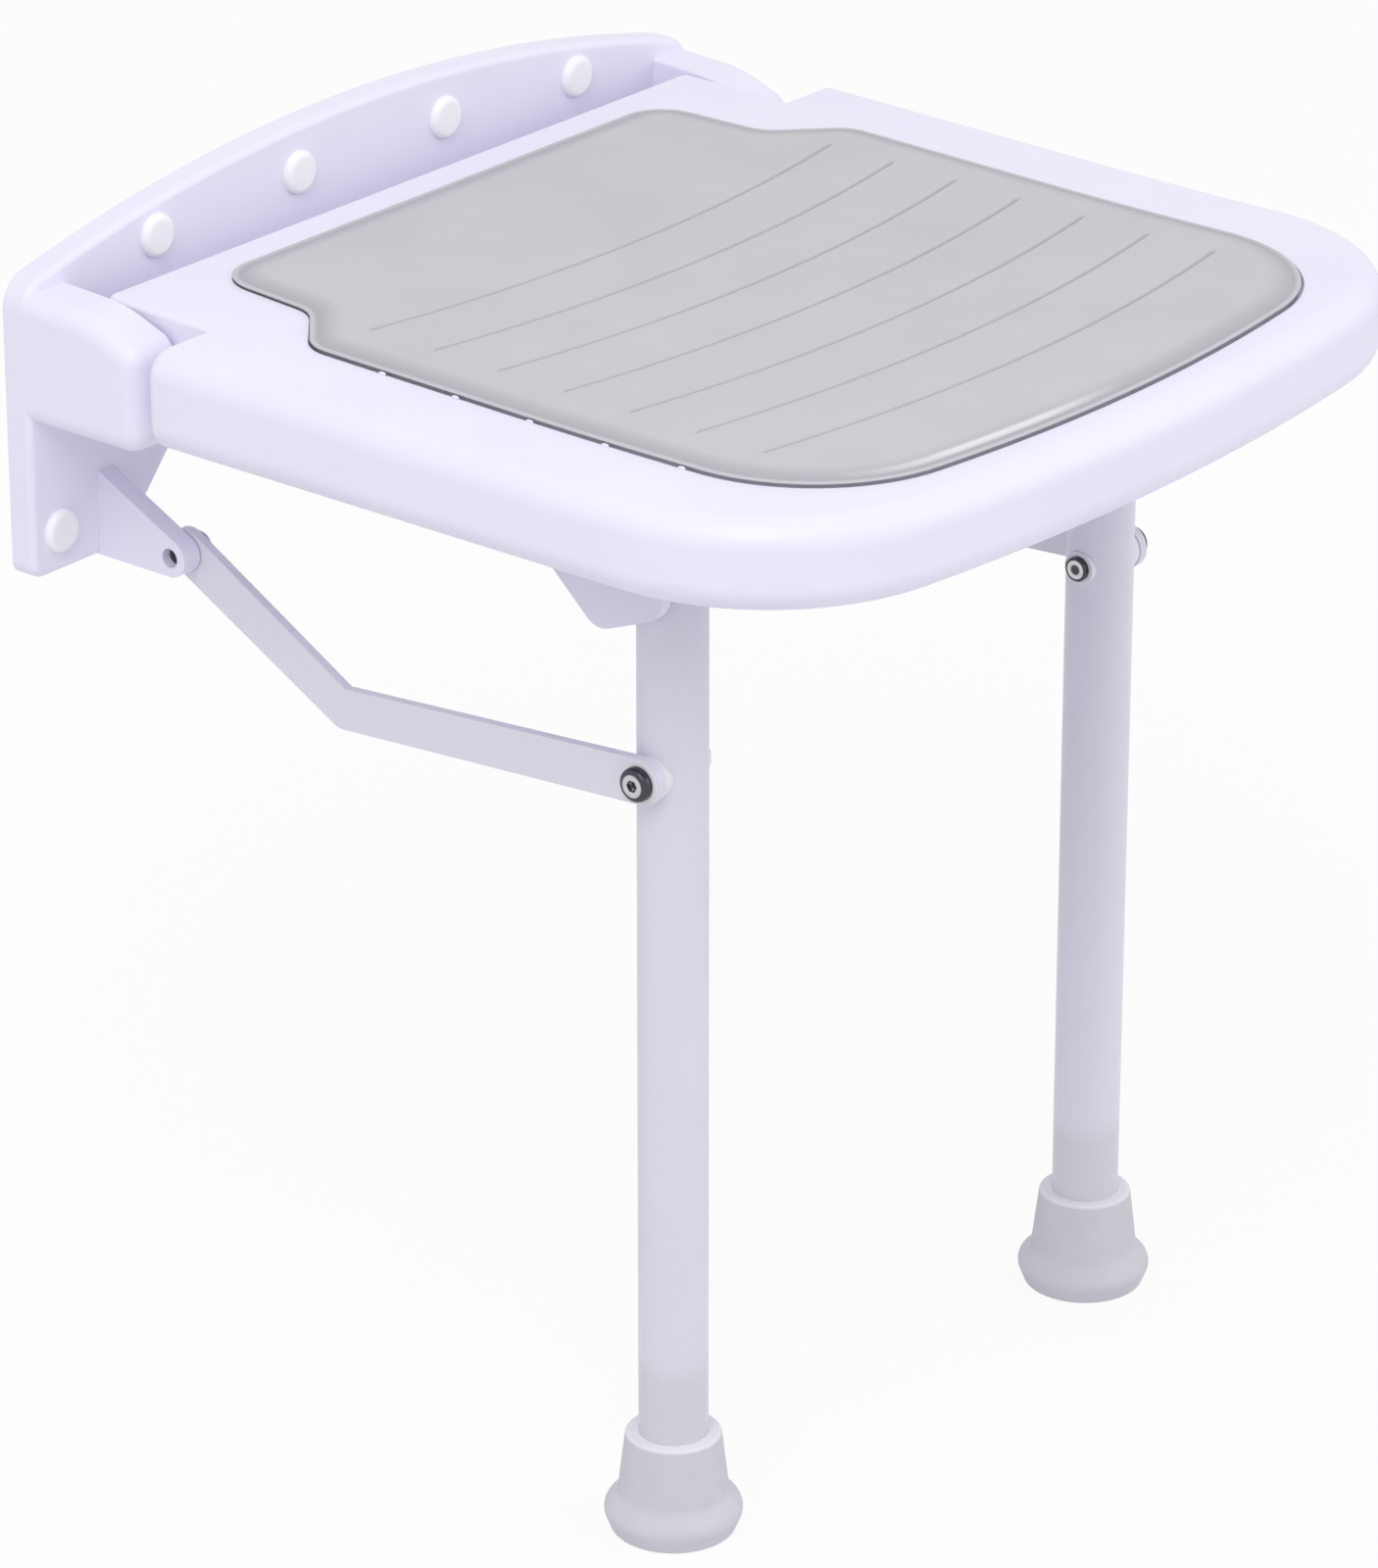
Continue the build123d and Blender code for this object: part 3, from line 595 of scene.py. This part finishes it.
@dataclass(frozen=True)
class TumbledSteel(Finish):
    """Cold-headed stainless screws, tumbled bright: tiny dents in every direction."""

    name: str = "tumbled_stainless_steel"
    colour: str = "#A5A5A9"
    shade: str = "#8C8C91"
    roughness: float = 0.34
    swing: float = 0.07
    patch_mm: float = 2.5
    grain_mm: float = 0.9
    grain_depth_mm: float = 0.02
    metallic: float = 1.0

    def grain(self, tree: bpy.types.NodeTree) -> bpy.types.NodeSocket:
        """Height of the dents."""
        place = object_place(tree)
        dents = add_node(
            tree, "ShaderNodeTexVoronoi", values={"Scale": per_metre(self.grain_mm)}, links={"Vector": place}
        )
        return dents.outputs["Distance"]


class Palette:
    """The finishes in use, each built once."""

    def __init__(self) -> None:
        """Start with no material built."""
        self._built: dict[Finish, bpy.types.Material] = {}

    def get(self, finish: Finish) -> bpy.types.Material:
        """Give the material of a finish.

        Args:
            finish: The finish wanted.

        Returns:
            Its material, built on first use.
        """
        if finish not in self._built:
            self._built[finish] = finish.build()
        return self._built[finish]


@dataclass
class Dresser:
    """Puts finishes on the model's own pieces."""

    nodes: dict[str, bpy.types.Object]
    palette: Palette

    def dress(self, node: str, finish: Finish) -> None:
        """Give one node its finish.

        Args:
            node: Name of the node.
            finish: The finish that it takes.
        """
        material = self.palette.get(finish)
        for slot in self.nodes[node].material_slots:
            slot.material = material
        LOG.info("%s: %s", node, finish.name)


@dataclass
class WallPlate:
    """Arched plate on the wall, with its screw caps and the hardware of the seat's hinge."""

    hinge_mm: Point3 = (0.0, -50.0, 0.0)

    def dress(self, dresser: Dresser) -> None:
        """Put finishes on the plate's pieces."""
        dresser.dress("wall_plate", MouldedPolypropylene())
        caps = MouldedPolypropylene(name="moulded_polypropylene_caps", colour="#FBFBFD", shade="#F6F6F9")
        dresser.dress("screw_caps", caps)
        # The bolt and the brass are painted dark on core and flank as shade and reflection, with a painted
        # highlight ring between.
        bolt = TurnedMetal(name="turned_stainless_steel_hinge", centre_mm=self.hinge_mm)
        brass = TurnedMetal(
            name="turned_brass",
            colour="#C9A659",
            shade="#B8944A",
            painted_shade_and_reflection="#A88642",
            roughness=0.3,
            centre_mm=self.hinge_mm,
        )
        for side in Side:
            dresser.dress(f"hinge_bolt_{side.label}", bolt)
            dresser.dress(f"hinge_insert_{side.label}", brass)
            dresser.dress(f"hinge_bush_{side.label}", NaturalNylon())


@dataclass
class SeatShell:
    """Moulded seat with the brackets and bolts that carry the legs."""

    pivot_mm: Point3 = (0.0, -285.0, -35.0)

    def dress(self, dresser: Dresser) -> None:
        """Put finishes on the seat's pieces."""
        dresser.dress("seat_shell", MouldedPolypropylene())
        bolt = TurnedMetal(name="turned_stainless_steel_pivot", centre_mm=self.pivot_mm)
        for side in Side:
            dresser.dress(f"leg_bracket_{side.label}", MouldedPolypropylene())
            dresser.dress(f"bracket_screws_{side.label}", TumbledSteel())
            dresser.dress(f"leg_pivot_bolt_{side.label}", bolt)
            dresser.dress(f"leg_pivot_bush_{side.label}", NaturalNylon())


@dataclass
class Legs:
    """Leg tubes with their plugs and ferrules."""

    def dress(self, dresser: Dresser) -> None:
        """Put finishes on both legs' pieces."""
        for side in Side:
            dresser.dress(f"leg_tube_{side.label}", LegCoat())
            dresser.dress(f"leg_top_plug_{side.label}", NaturalNylon())
            dresser.dress(f"foot_{side.label}", FerruleRubber())
            dresser.dress(f"foot_disc_{side.label}", TumbledSteel())


@dataclass
class Links:
    """Side links with their bushes, bolts and saddle washers."""

    wall_pivot_mm: Point3 = (0.0, -50.0, -78.0)
    leg_pivot_mm: Point3 = (0.0, -285.0, -113.0)

    def dress(self, dresser: Dresser) -> None:
        """Put finishes on both links' pieces."""
        # Each bolt is painted dark on its core and flank as shade and reflection, with a painted highlight
        # ring between.
        wall_bolt = TurnedMetal(
            name="turned_stainless_steel_lug",
            centre_mm=self.wall_pivot_mm,
            core_radius_mm=3.2,
            painted_highlight_radius_mm=7.5,
        )
        leg_bolt = TurnedMetal(
            name="turned_stainless_steel_link",
            centre_mm=self.leg_pivot_mm,
            core_radius_mm=1.8,
            painted_highlight_radius_mm=4.2,
        )
        nut = TurnedMetal(
            name="turned_stainless_steel_nut",
            centre_mm=self.leg_pivot_mm,
            core_radius_mm=0.6,
            painted_highlight_radius_mm=2.4,
        )
        for side in Side:
            dresser.dress(f"link_arm_{side.label}", PowderCoat())
            dresser.dress(f"link_wall_bolt_{side.label}", wall_bolt)
            dresser.dress(f"link_leg_bolt_{side.label}", leg_bolt)
            dresser.dress(f"link_leg_nut_{side.label}", nut)
            for piece in ("link_bush_front", "link_bush_rear", "link_spacer", "link_leg_washer"):
                dresser.dress(f"{piece}_{side.label}", NaturalNylon())


def walk(start: Vector, end: Vector, step: float) -> list[Point]:
    """Points along a straight line, without its start.

    Args:
        start: Where the line begins.
        end: Where it ends.
        step: Spacing of the points.

    Returns:
        The points, the end included.
    """
    count = max(1, round((end - start).length / step))
    return [tuple(start.lerp(end, k / count)) for k in range(1, count + 1)]


def rounded_path(corners: list[Point], radii: list[float], step: float) -> list[Point]:
    """Walk along a line with rounded corners.

    Args:
        corners: Ends and corners of the line.
        radii: Radius at each corner between the ends.
        step: Spacing of the points.

    Returns:
        Points along the line, both ends included.
    """
    path: list[Point] = [corners[0]]
    ends = [Vector(c) for c in corners]
    start = ends[0]
    for before, corner, after, radius in zip(ends, ends[1:], ends[2:], radii):
        come = (corner - before).normalized()
        go = (after - corner).normalized()
        turn = come.angle_signed(go)
        cut = radius * math.tan(abs(turn) / 2)
        first = corner - come * cut
        centre = first + Vector((come.y, -come.x)) * math.copysign(radius, turn)
        path += walk(start, first, step)
        count = max(3, math.ceil(radius * abs(turn) / step))
        spoke = first - centre
        for k in range(1, count + 1):
            a = -turn * k / count
            path.append(
                (
                    centre.x + spoke.x * math.cos(a) - spoke.y * math.sin(a),
                    centre.y + spoke.x * math.sin(a) + spoke.y * math.cos(a),
                )
            )
        start = corner + go * cut
    path += walk(start, ends[-1], step)
    return path


@dataclass
class EdgePoint:
    """One point of the pad's edge in section, and how much painted shade and painted highlight lies there."""

    inset: float
    height: float
    roll: float = 0.0
    rub: float = 0.0


@dataclass
class SeatPad:
    """Soft grooved insert: a moulded skin with a bead round its foot and a rolled upper edge.

    The grooves' flank and run-out are counted in widths, and their guard against other points in pitches.
    """

    rear: float = -49.6
    front: float = -398.0
    front_sagitta: float = 19.0
    front_corner: float = 68.0
    rear_half_width: float = 136.9
    waist_half_width: float = 140.9
    half_width: float = 169.0
    waist: float = -104.3
    hip: float = -129.3
    swing_round: float = 18.0
    rear_corner: float = 20.0
    deck: float = 24.0
    rim: float = 27.0
    top: float = 30.0
    rise_start: float = -265.0
    rise_slope: float = 0.022
    rise_blend: float = 3000.0
    groove_count: int = 7
    groove_pitch: float = 32.5
    groove_front: float = 51.0
    groove_width: float = 1.8
    groove_depth: float = 0.9
    groove_half_length: float = 142.0
    groove_painted_shade_and_reflection: float = 0.65
    groove_run_out: float = 2.0
    groove_rows: tuple[float, ...] = (-1.7, -1.15, -0.55, 0.0, 0.55, 1.15, 1.7)
    groove_columns: int = 48
    groove_margin: float = 6.0
    groove_guard: float = 0.1
    # Span of the painted highlight along the front edge.
    highlight_centre: float = -72.0
    highlight_half_length: float = 75.0
    highlight_middle: float = 25.0
    edge_step: float = 2.2
    field_step: float = 7.0
    field_margin: float = 3.0

    @property
    def bow_radius(self) -> float:
        """Radius of the front edge, which the grooves share."""
        return (self.half_width**2 + self.front_sagitta**2) / (2 * self.front_sagitta)

    @property
    def first_groove(self) -> float:
        """Where the foremost groove crosses the centre line."""
        return self.front + self.groove_front

    def edge_profile(self) -> list[EdgePoint]:
        """Section of the edge from the deck up to the top: a foot, a bead, a valley and the wide roll."""
        deck = self.deck
        rim = self.rim
        top = self.top
        return [
            EdgePoint(1.5, deck + 0.05),
            EdgePoint(1.3, deck + 0.6),
            EdgePoint(1.3, rim + 0.2),
            EdgePoint(0.8, rim + 0.5),
            EdgePoint(0.25, rim + 0.75),
            EdgePoint(0.0, rim + 1.1),
            EdgePoint(0.2, rim + 1.45),
            EdgePoint(0.7, rim + 1.7),
            EdgePoint(1.4, rim + 1.75),
            # Roll shares paint shade on the valley and the roll; the other shares paint a highlight on the
            # front.
            EdgePoint(2.1, rim + 1.55, roll=0.5),
            EdgePoint(2.7, rim + 1.25, roll=1.0),
            EdgePoint(3.3, rim + 1.2, roll=1.0),
            EdgePoint(4.0, top - 1.5, roll=1.0),
            EdgePoint(5.0, top - 1.1, roll=0.9, rub=0.7),
            EdgePoint(6.5, top - 0.65, roll=0.75, rub=1.0),
            EdgePoint(8.5, top - 0.3, roll=0.5),
            EdgePoint(10.5, top - 0.1, roll=0.25),
            EdgePoint(12.5, top),
            EdgePoint(15.0, top),
        ]

    def painted_highlight(self, x: float, y: float) -> float:
        """Share of the painted highlight, a paler streak, at a place, from nought to one: most beside the
        front's left corner.
        """
        if y > self.front + self.front_corner:
            return 0.0
        away = abs(x - self.highlight_centre)
        share = (self.highlight_half_length - away) / (self.highlight_half_length - self.highlight_middle)
        return min(1.0, max(0.0, share))

    def rise(self, y: float) -> float:
        """How far the seat has bent up at a distance from the wall."""
        reach = self.rise_blend * math.tan(math.atan(self.rise_slope) / 2)
        past = y - self.rise_start
        if past <= -reach:
            return 0.0
        if past < reach:
            return (past + reach) ** 2 / (2 * self.rise_blend)
        return past * self.rise_slope

    def bow(self, x: float) -> float:
        """How far a bowed line lies behind its middle at a distance from the centre line."""
        return self.bow_radius - math.sqrt(self.bow_radius**2 - x**2)

    def outline(self) -> list[Point]:
        """Plan of the pad, counter-clockwise from the middle of its rear edge.

        Returns:
            Points round the closed outline.
        """
        corner = self.front_corner
        centre_y = self.front + self.bow_radius
        inner = self.bow_radius - corner
        corner_x = self.half_width - corner
        corner_y = centre_y - math.sqrt(inner**2 - corner_x**2)
        half = rounded_path(
            [
                (0.0, self.rear),
                (-self.rear_half_width, self.rear),
                (-self.waist_half_width, self.waist),
                (-self.half_width, self.hip),
                (-self.half_width, corner_y),
            ],
            [self.rear_corner, self.swing_round, self.swing_round],
            self.edge_step,
        )
        sweep = math.acos(corner_x / inner)
        count = math.ceil(corner * sweep / self.edge_step)
        for k in range(1, count + 1):
            a = math.pi + sweep * k / count
            half.append((-corner_x + corner * math.cos(a), corner_y + corner * math.sin(a)))
        start_x = abs(half[-1][0])
        count = math.ceil(start_x / self.edge_step)
        for k in range(1, count + 1):
            x = -start_x * (1 - k / count)
            half.append((x, self.front + self.bow(x)))
        return half + [(-x, y) for x, y in reversed(half[1:-1])]

    def inset(self, loop: list[Point], amount: float) -> list[Point]:
        """Draw a counter-clockwise loop inwards.

        Args:
            loop: Points round the loop.
            amount: Distance to move them.

        Returns:
            The moved points, one for each given.
        """
        moved: list[Point] = []
        for k, (x, y) in enumerate(loop):
            ahead = loop[(k + 1) % len(loop)]
            behind = loop[k - 1]
            run = Vector((ahead[0] - behind[0], ahead[1] - behind[1])).normalized()
            moved.append((x - run.y * amount, y + run.x * amount))
        return moved

    def field_points(self, border: list[Point]) -> list[Point]:
        """Points for the top inside its rolled edge, close together across the grooves.

        Args:
            border: Loop that the points stay clear of.

        Returns:
            The points.
        """
        reach = self.groove_half_length + self.groove_margin
        points: list[Point] = []
        for groove in range(self.groove_count):
            middle = self.first_groove + groove * self.groove_pitch
            for k in range(-self.groove_columns, self.groove_columns + 1):
                x = reach * k / self.groove_columns
                points += [(x, middle + self.bow(x) + offset) for offset in self.groove_rows]
        rows = math.ceil((self.rear - self.front) / self.field_step)
        columns = math.ceil(self.half_width / self.field_step)
        guard = self.inset(border, self.field_margin)
        for row in range(-math.ceil(self.groove_front / self.field_step), rows):
            past = row * self.field_step
            near = past / self.groove_pitch
            groove = round(near)
            on_groove = abs(near - groove) < self.groove_guard and 0 <= groove < self.groove_count
            for column in range(-columns, columns + 1):
                x = column * self.field_step
                if abs(x) >= self.half_width or (on_groove and abs(x) < reach + self.field_margin):
                    continue
                y = self.first_groove + past + self.bow(x)
                if self.inside((x, y), guard):
                    points.append((x, y))
        return points

    def inside(self, point: Point, loop: list[Point]) -> bool:
        """Tell whether a point lies in a loop.

        Args:
            point: The point.
            loop: Points round the loop.

        Returns:
            True if it does.
        """
        x, y = point
        odd = False
        for (x1, y1), (x2, y2) in zip(loop, loop[1:] + loop[:1]):
            if (y1 > y) != (y2 > y) and x < x1 + (y - y1) * (x2 - x1) / (y2 - y1):
                odd = not odd
        return odd

    def fill(self, border: list[Point], field: list[Point]) -> list[list[int]]:
        """Fill a loop with triangles.

        Args:
            border: Points round the loop, counter-clockwise.
            field: Points inside it.

        Returns:
            Corner numbers of each face, counted through the border and then the field.
        """
        edges = [(k, (k + 1) % len(border)) for k in range(len(border))]
        made = delaunay_2d_cdt([Vector(p) for p in border + field], edges, [], 1, 1e-4)
        source = [origin[0] for origin in made[3]]
        return [[source[k] for k in face] for face in made[2]]

    def build(self, material: bpy.types.Material) -> bpy.types.Object:
        """Build the pad.

        Args:
            material: Its skin.

        Returns:
            The finished piece.
        """
        loop = self.outline()
        size = len(loop)
        points: list[Point3] = []
        faces: list[list[int]] = []
        recess = self.rim - self.deck
        ring: list[Point] = []
        # Shares of painted shade on the roll and of the painted highlight on its front.
        marks: dict[str, list[float]] = {"roll": [], "painted_highlight": []}
        for level, edge in enumerate(self.edge_profile()):
            ring = self.inset(loop, edge.inset)
            share = min(1.0, (edge.height - self.deck) / recess)
            points += [(x, y, edge.height + share * self.rise(y)) for x, y in ring]
            marks["roll"] += [edge.roll] * size
            marks["painted_highlight"] += [edge.rub * self.painted_highlight(x, y) for x, y in ring]
            if level:
                low = (level - 1) * size
                for k in range(size):
                    after = (k + 1) % size
                    faces.append([low + k, low + after, low + size + after, low + size + k])
            else:
                faces += [face[::-1] for face in self.fill(ring, [])]
        last = len(points) - size
        field = self.field_points(ring)
        points += [(x, y, self.top + self.rise(y)) for x, y in field]
        faces += [[last + k for k in face] for face in self.fill(ring, field)]
        pad = new_piece("pad", points, faces)
        for name, shares in marks.items():
            shares += [0.0] * (len(points) - len(shares))
            pad.data.attributes.new(name, "FLOAT", "POINT").data.foreach_set("value", shares)
        run_tree(
            pad,
            self.relief_tree(material),
            {
                "First Groove": self.first_groove * MM,
                "Pitch": self.groove_pitch * MM,
                "Count": self.groove_count,
                "Width": self.groove_width * MM,
                "Depth": self.groove_depth * MM,
                "Half Length": self.groove_half_length * MM,
                "Bow Radius": self.bow_radius * MM,
                "Skin Level": self.rim * MM,
            },
        )
        return pad

    def relief_tree(self, material: bpy.types.Material) -> bpy.types.NodeTree:
        """Make the tree that presses the bowed grooves into the top.

        Args:
            material: Skin that the tree gives the pad.

        Returns:
            The tree.
        """
        number = "NodeSocketFloat"
        labels = ("First Groove", "Pitch", "Width", "Depth", "Half Length", "Bow Radius", "Skin Level")
        tree, inputs = start_tree("pad_grooves", {**{n: number for n in labels}, "Count": "NodeSocketInt"})
        size = inputs.outputs
        sums = partial(reckon, tree)
        place = add_node(tree, "GeometryNodeInputPosition").outputs[0]
        split = add_node(tree, "ShaderNodeSeparateXYZ", links={0: place}).outputs
        radius = size["Bow Radius"]
        square = sums("MULTIPLY", radius, radius)
        root = sums("SQRT", sums("SUBTRACT", square, sums("MULTIPLY", split[0], split[0])))
        bow = sums("SUBTRACT", radius, root)
        run = sums("SUBTRACT", sums("SUBTRACT", split[1], size["First Groove"]), bow)
        nearest = sums("ROUND", sums("DIVIDE", run, size["Pitch"]))
        last = sums("SUBTRACT", size["Count"], 1.0)
        kept = sums("MINIMUM", sums("MAXIMUM", nearest, 0.0), last)
        miss = sums("ABSOLUTE", sums("SUBTRACT", run, sums("MULTIPLY", kept, size["Pitch"])))
        section = ease(tree, miss, 0.0, sums("MULTIPLY", size["Width"], self.groove_painted_shade_and_reflection), 1.0, 0.0)
        far = sums("ADD", size["Half Length"], sums("MULTIPLY", size["Width"], self.groove_run_out))
        ends = ease(tree, sums("ABSOLUTE", split[0]), size["Half Length"], far, 1.0, 0.0)
        skin = sums("GREATER_THAN", split[2], size["Skin Level"])
        groove = sums("MULTIPLY", sums("MULTIPLY", section, ends), skin)
        drop = sums("MULTIPLY", sums("MULTIPLY", groove, size["Depth"]), -1.0)
        offset = add_node(tree, "ShaderNodeCombineXYZ", links={2: drop}).outputs[0]
        marked = add_node(
            tree,
            "GeometryNodeStoreNamedAttribute",
            {"data_type": "FLOAT", "domain": "POINT"},
            {"Name": "groove"},
            {"Geometry": size["Geometry"], "Value": groove},
        ).outputs[0]
        pressed = add_node(tree, "GeometryNodeSetPosition", links={"Geometry": marked, "Offset": offset})
        end_tree(tree, pressed.outputs[0], material)
        return tree

    def dress(self, dresser: Dresser) -> None:
        """Build the pad, put it on the seat and let it stand for the model's plain solid."""
        pad = self.build(dresser.palette.get(FoamSkin()))
        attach(pad, "seat")
        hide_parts("seat_pad")
        LOG.info("pad: %d faces", len(pad.data.polygons))


@dataclass
class PadNibs:
    """Small white nibs on the seat's rim that hold the pad's long sides."""

    offset: float = 170.3
    first: float = -168.0
    pitch: float = -37.0
    count: int = 5
    length: float = 4.2
    width: float = 1.7
    height: float = 1.5
    seat_top: float = SeatPad.rim
    roundings: int = 2
    rise_start: float = SeatPad.rise_start
    rise_slope: float = SeatPad.rise_slope

    def tree(self, material: bpy.types.Material) -> bpy.types.NodeTree:
        """Make the tree that sets a row of rounded nibs.

        Args:
            material: Finish of the nibs.

        Returns:
            The tree.
        """
        sockets = {label: "NodeSocketVector" for label in ("First", "Pitch", "Nib Size")}
        sockets.update({label: "NodeSocketFloat" for label in ("Rise Start", "Rise Slope")})
        tree, inputs = start_tree("pad_nibs", {**sockets, "Count": "NodeSocketInt"})
        size = inputs.outputs
        row = add_node(
            tree,
            "GeometryNodeMeshLine",
            {"mode": "OFFSET"},
            links={"Count": size["Count"], "Start Location": size["First"], "Offset": size["Pitch"]},
        )
        place = add_node(tree, "GeometryNodeInputPosition").outputs[0]
        depth = add_node(tree, "ShaderNodeSeparateXYZ", links={0: place}).outputs[1]
        past = reckon(tree, "MAXIMUM", reckon(tree, "SUBTRACT", depth, size["Rise Start"]), 0.0)
        rise = reckon(tree, "MULTIPLY", past, size["Rise Slope"])
        lift = add_node(tree, "ShaderNodeCombineXYZ", links={2: rise}).outputs[0]
        bent = add_node(tree, "GeometryNodeSetPosition", links={0: row.outputs[0], "Offset": lift}).outputs[0]
        block = add_node(tree, "GeometryNodeMeshCube", links={"Size": size["Nib Size"]}).outputs[0]
        nib = add_node(tree, "GeometryNodeSubdivisionSurface", {}, {"Level": self.roundings}, {"Mesh": block})
        placed = add_node(
            tree, "GeometryNodeInstanceOnPoints", links={"Points": bent, "Instance": nib.outputs[0]}
        )
        end_tree(tree, placed.outputs[0], material)
        return tree

    def dress(self, dresser: Dresser) -> None:
        """Build both rows of nibs and put them on the seat."""
        tree = self.tree(dresser.palette.get(MouldedPolypropylene()))
        for side in Side:
            nibs = new_piece(f"pad_nibs_{side.label}", [], [])
            place = (side.value * self.offset, self.first, self.seat_top + self.height / 4)
            run_tree(
                nibs,
                tree,
                {
                    "First": [c * MM for c in place],
                    "Pitch": [0.0, self.pitch * MM, 0.0],
                    "Rise Start": self.rise_start * MM,
                    "Rise Slope": self.rise_slope,
                    "Count": self.count,
                    "Nib Size": [self.width * MM, self.length * MM, self.height * MM],
                },
            )
            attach(nibs, "seat")
            LOG.info("%s: %d faces", nibs.name, len(nibs.data.polygons))


@dataclass
class Lamp:
    """One soft studio lamp."""

    name: str
    towards: Point3
    distance: float
    width: float
    watts: float


@dataclass
class Studio:
    """Camera at the photograph's angle, soft lamps and a plain pale floor."""

    sensor_mm: float = 36.0
    reach_m: float = 50.0
    focal_px: float = 7500.0
    frame_px: float = 1600.0
    azimuth: float = -50.69
    elevation: float = 23.79
    distance: float = 2926.77
    target: Point3 = (-61.06, -230.0, -161.88)
    floor_gap: float = 0.2
    floor_roughness: float = 0.9
    floor_half: float = 9000.0
    floor_colour: str = "#FCFCFD"
    floor_bounce: str = "#E6E6EA"
    ambient: float = 0.72
    floor_glow: float = 0.88
    lamps: tuple[Lamp, ...] = (
        Lamp("key_lamp", (-0.65, -0.35, 0.95), 2.4, 1.4, 19.0),
        Lamp("fill_lamp", (0.75, -0.85, 0.45), 2.6, 1.6, 9.5),
    )

    def aim(self) -> Vector:
        """Direction that the camera looks in."""
        turn = math.radians(self.azimuth)
        tilt = math.radians(self.elevation)
        return Vector((-math.sin(turn) * math.cos(tilt), math.cos(turn) * math.cos(tilt), -math.sin(tilt)))

    def build(self) -> None:
        """Build the whole studio."""
        self.build_camera()
        self.build_world()
        self.build_floor()
        for lamp in self.lamps:
            self.build_lamp(lamp)

    def build_camera(self) -> None:
        """Set the camera where the photograph was taken."""
        data = bpy.data.cameras.new("camera")
        data.sensor_width = self.sensor_mm
        data.lens = self.focal_px / self.frame_px * data.sensor_width
        data.clip_end = self.reach_m
        camera = bpy.data.objects.new("camera", data)
        aim = self.aim()
        camera.location = (Vector(self.target) - aim * self.distance) * MM
        camera.rotation_euler = aim.to_track_quat("-Z", "Y").to_euler()
        bpy.context.scene.collection.objects.link(camera)
        bpy.context.scene.camera = camera

    def seen(self, tree: bpy.types.NodeTree) -> bpy.types.NodeSocket:
        """One for what the eye, a gloss or a glass sees, and nought for light that falls on things.

        Args:
            tree: Tree of a world or a material.

        Returns:
            The socket.
        """
        path = add_node(tree, "ShaderNodeLightPath").outputs
        pair = reckon(tree, "MAXIMUM", path["Is Camera Ray"], path["Is Glossy Ray"])
        return reckon(tree, "MAXIMUM", pair, path["Is Transmission Ray"])

    def build_world(self) -> None:
        """Soft even light from all round, seen as plain white."""
        world = bpy.data.worlds.new("studio")
        world.use_nodes = True
        tree = world.node_tree
        sky = tree.nodes["Background"]
        sky.inputs["Color"].default_value = (1.0, 1.0, 1.0, 1.0)
        level = add_node(
            tree,
            "ShaderNodeMapRange",
            values={"To Min": self.ambient, "To Max": 1.0},
            links={"Value": self.seen(tree)},
        )
        tree.links.new(level.outputs[0], sky.inputs["Strength"])
        bpy.context.scene.world = world

    def build_floor(self) -> None:
        """Pale floor that keeps a faint shadow."""
        half = self.floor_half
        low = -FLOOR_DROP_MM - self.floor_gap
        corners = [(-half, -half, low), (half, -half, low), (half, half, low), (-half, half, low)]
        floor = new_piece("floor", corners, [[0, 1, 2, 3]])
        material = bpy.data.materials.new("studio_floor")
        material.use_nodes = True
        tree = material.node_tree
        shader = tree.nodes["Principled BSDF"]
        shader.inputs["Roughness"].default_value = self.floor_roughness
        seen = self.seen(tree)
        shades = {6: linear(self.floor_bounce), 7: linear(self.floor_colour)}
        tone = add_node(tree, "ShaderNodeMix", {"data_type": "RGBA"}, shades, {0: seen})
        tree.links.new(tone.outputs[2], shader.inputs["Base Color"])
        glow = add_node(tree, "ShaderNodeEmission", values={"Strength": 1.0})
        share = reckon(tree, "MULTIPLY", seen, self.floor_glow)
        parts = {0: share, 1: shader.outputs[0], 2: glow.outputs[0]}
        mix = add_node(tree, "ShaderNodeMixShader", links=parts)
        tree.links.new(mix.outputs[0], tree.nodes["Material Output"].inputs["Surface"])
        floor.data.materials.append(material)

    def build_lamp(self, lamp: Lamp) -> None:
        """Hang one lamp and point it at the seat.

        Args:
            lamp: Where it hangs, its width and its power.
        """
        data = bpy.data.lights.new(lamp.name, "AREA")
        data.energy = lamp.watts
        data.size = lamp.width
        light = bpy.data.objects.new(lamp.name, data)
        away = Vector(lamp.towards).normalized()
        light.location = Vector(self.target) * MM + away * lamp.distance
        light.rotation_euler = (-away).to_track_quat("-Z", "Y").to_euler()
        bpy.context.scene.collection.objects.link(light)


def main() -> None:
    """Dress the model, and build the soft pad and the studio."""
    logging.basicConfig(level=logging.INFO, format="%(name)s %(message)s")
    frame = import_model()
    bpy.context.scene.view_settings.view_transform = "Standard"
    Studio().build()
    dresser = Dresser(frame["nodes"], Palette())
    for assembly in (WallPlate(), SeatShell(), Legs(), Links(), SeatPad(), PadNibs()):
        assembly.dress(dresser)


if __name__ == "__main__":
    main()
